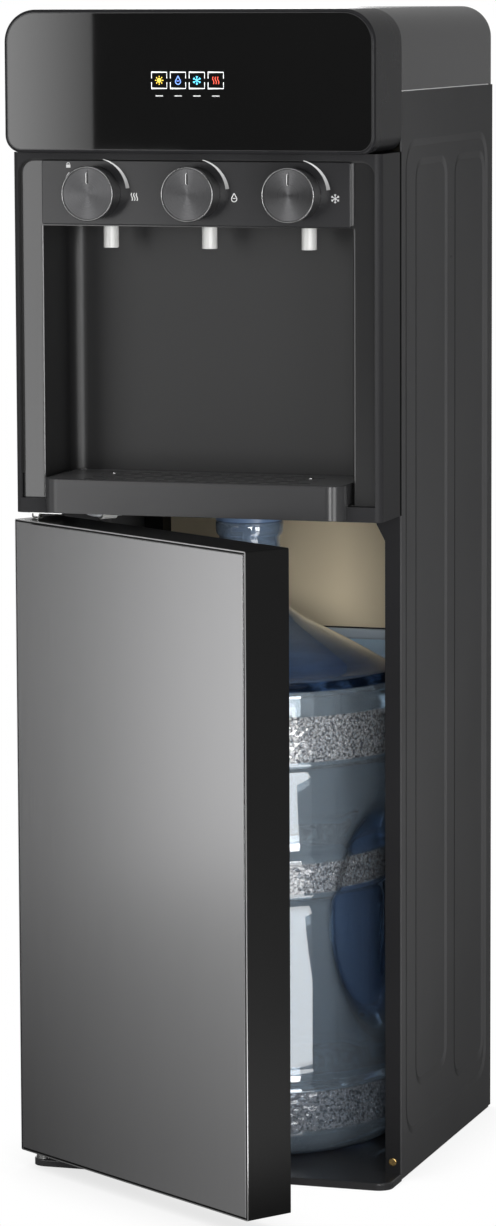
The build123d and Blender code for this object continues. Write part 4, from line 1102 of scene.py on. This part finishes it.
def fade_edge(lamp):
    # The card's right edge glows brightest a hand's width in, and falls off to its rim
    lamp.data.use_nodes = True
    tree = lamp.data.node_tree
    across = axes(tree, add(tree, "NewGeometry").outputs["Parametric"])["X"]
    rise = remap(tree, across, 1.0, EDGE_GLOW, EDGE_START, EDGE_PEAK)
    fall = remap(tree, across, 1.0, EDGE_RIM, EDGE_PEAK, 1.0)
    tree.links.new(combine(tree, "MULTIPLY", rise, fall), tree.nodes["Emission"].inputs["Strength"])


def add_lights():
    card = area_light("card_high", (-1.62, -2.50, 1.46), (-1.62, 0.0, 1.46), 1.44, 1.4, 3.2)
    fade_edge(card)
    area_light("card_low", (-1.54, -2.50, 0.405), (-1.54, 0.0, 0.405), 1.52, 0.71, 3.4)
    area_light("box_left", (-1.35, -0.87, 0.70), (0.0, -0.87, 0.70), 1.1, 1.36, 0.56)
    area_light("box_top", (0.2, -0.9, 2.7), (0.0, 0.0, 0.6), 2.0, 1.6, 1.4)
    area_light("box_right", (1.85, -1.85, 0.55), (0.0, 0.0, 0.38), 0.8, 0.8, 9.0)
    area_light("box_bay", (1.02, -3.05, 0.75), (0.0, 0.0, 0.40), 0.75, 1.2, 17.5)
    area_light("box_back", (-1.4, 2.4, 1.5), (0.0, 0.1, 0.5), 1.6, 1.6, 2.4)
    strip = area_light("strip_low", (1.05, -1.05, 0.02), (1.05, -1.05, 1.0), 0.42, 2.2, 3.6)
    strip.rotation_euler = (math.pi, 0.0, math.radians(45.0))


def ray_kinds(tree):
    # Two masks: rays that should see the white background, which are those of the camera
    # and those through clear pieces, and rays that reflect
    path = add(tree, "LightPath")
    seen = combine(tree, "MAXIMUM", path.outputs["Is Camera Ray"], path.outputs["Is Transmission Ray"])
    return seen, path.outputs["Is Glossy Ray"]


def add_world():
    world = bpy.data.worlds.new("studio")
    bpy.context.scene.world = world
    world.use_nodes = True
    tree = world.node_tree
    ground = tree.nodes["Background"]
    seen, glossy = ray_kinds(tree)
    depth = axes(tree, add(tree, "TexCoord").outputs["Generated"])["Y"]
    gloss = remap(tree, depth, GLOSS_FRONT, GLOSS_BACK, *GLOSS_RAMP)
    level = mix_values(tree, glossy, WORLD_LIGHT, gloss)
    level = mix_values(tree, seen, level, 1.0)
    ground.inputs["Color"].default_value = (1, 1, 1, 1)
    tree.links.new(level, ground.inputs["Strength"])


def floor_finish():
    # White to the camera but for a faint contact shadow, plain grey to the light, graded in reflections with
    # painted shade towards the object
    material, tree, shader = new_material("floor")
    shader.inputs["Base Color"].default_value = (0.80, 0.80, 0.80, 1)
    shader.inputs["Roughness"].default_value = 0.9
    shader.inputs["Specular IOR Level"].default_value = 0.0
    seen, glossy = ray_kinds(tree)
    contact = add(tree, "AmbientOcclusion")
    contact.inputs["Distance"].default_value = CONTACT_REACH
    contact.samples = 8
    white = remap(tree, contact.outputs["AO"], *CONTACT_SHADE)
    place = axes(tree, object_place(tree))
    across = remap(tree, place["X"], *FLOOR_ACROSS)
    along = remap(tree, place["Y"], *FLOOR_ALONG)
    left = combine(tree, "MULTIPLY", across, along)
    right = remap(tree, place["X"], *FLOOR_RIGHT)
    gloss = mix_values(tree, right, left, FLOOR_RIGHT_GLOSS)
    glow = add(tree, "Emission")
    tree.links.new(mix_values(tree, glossy, white, gloss), glow.inputs["Strength"])
    mix = add(tree, "MixShader")
    tree.links.new(combine(tree, "MAXIMUM", seen, glossy), mix.inputs["Fac"])
    tree.links.new(shader.outputs["BSDF"], mix.inputs[1])
    tree.links.new(glow.outputs["Emission"], mix.inputs[2])
    tree.links.new(mix.outputs["Shader"], tree.nodes["Material Output"].inputs["Surface"])
    return material


def add_floor():
    sides = ((-1, -1), (1, -1), (1, 1), (-1, 1))
    corners = [(x * FLOOR_REACH, y * FLOOR_REACH, cad_box[0][2]) for x, y in sides]
    data = bpy.data.meshes.new("floor")
    data.from_pydata(corners, [], [(0, 1, 2, 3)])
    data.materials.append(floor_finish())
    floor = bpy.data.objects.new("floor", data)
    bpy.context.scene.collection.objects.link(floor)


add_camera()
dress_nodes()
add_display()
add_control_prints()
add_knob_details()
add_bottle(bottle_foot())
add_water(bottle_foot())
add_grille_studs()
add_seams()
add_fascia_shade_lining()
add_liner_line()
add_lights()
add_world()
add_floor()
bpy.context.scene.view_settings.view_transform = "Standard"
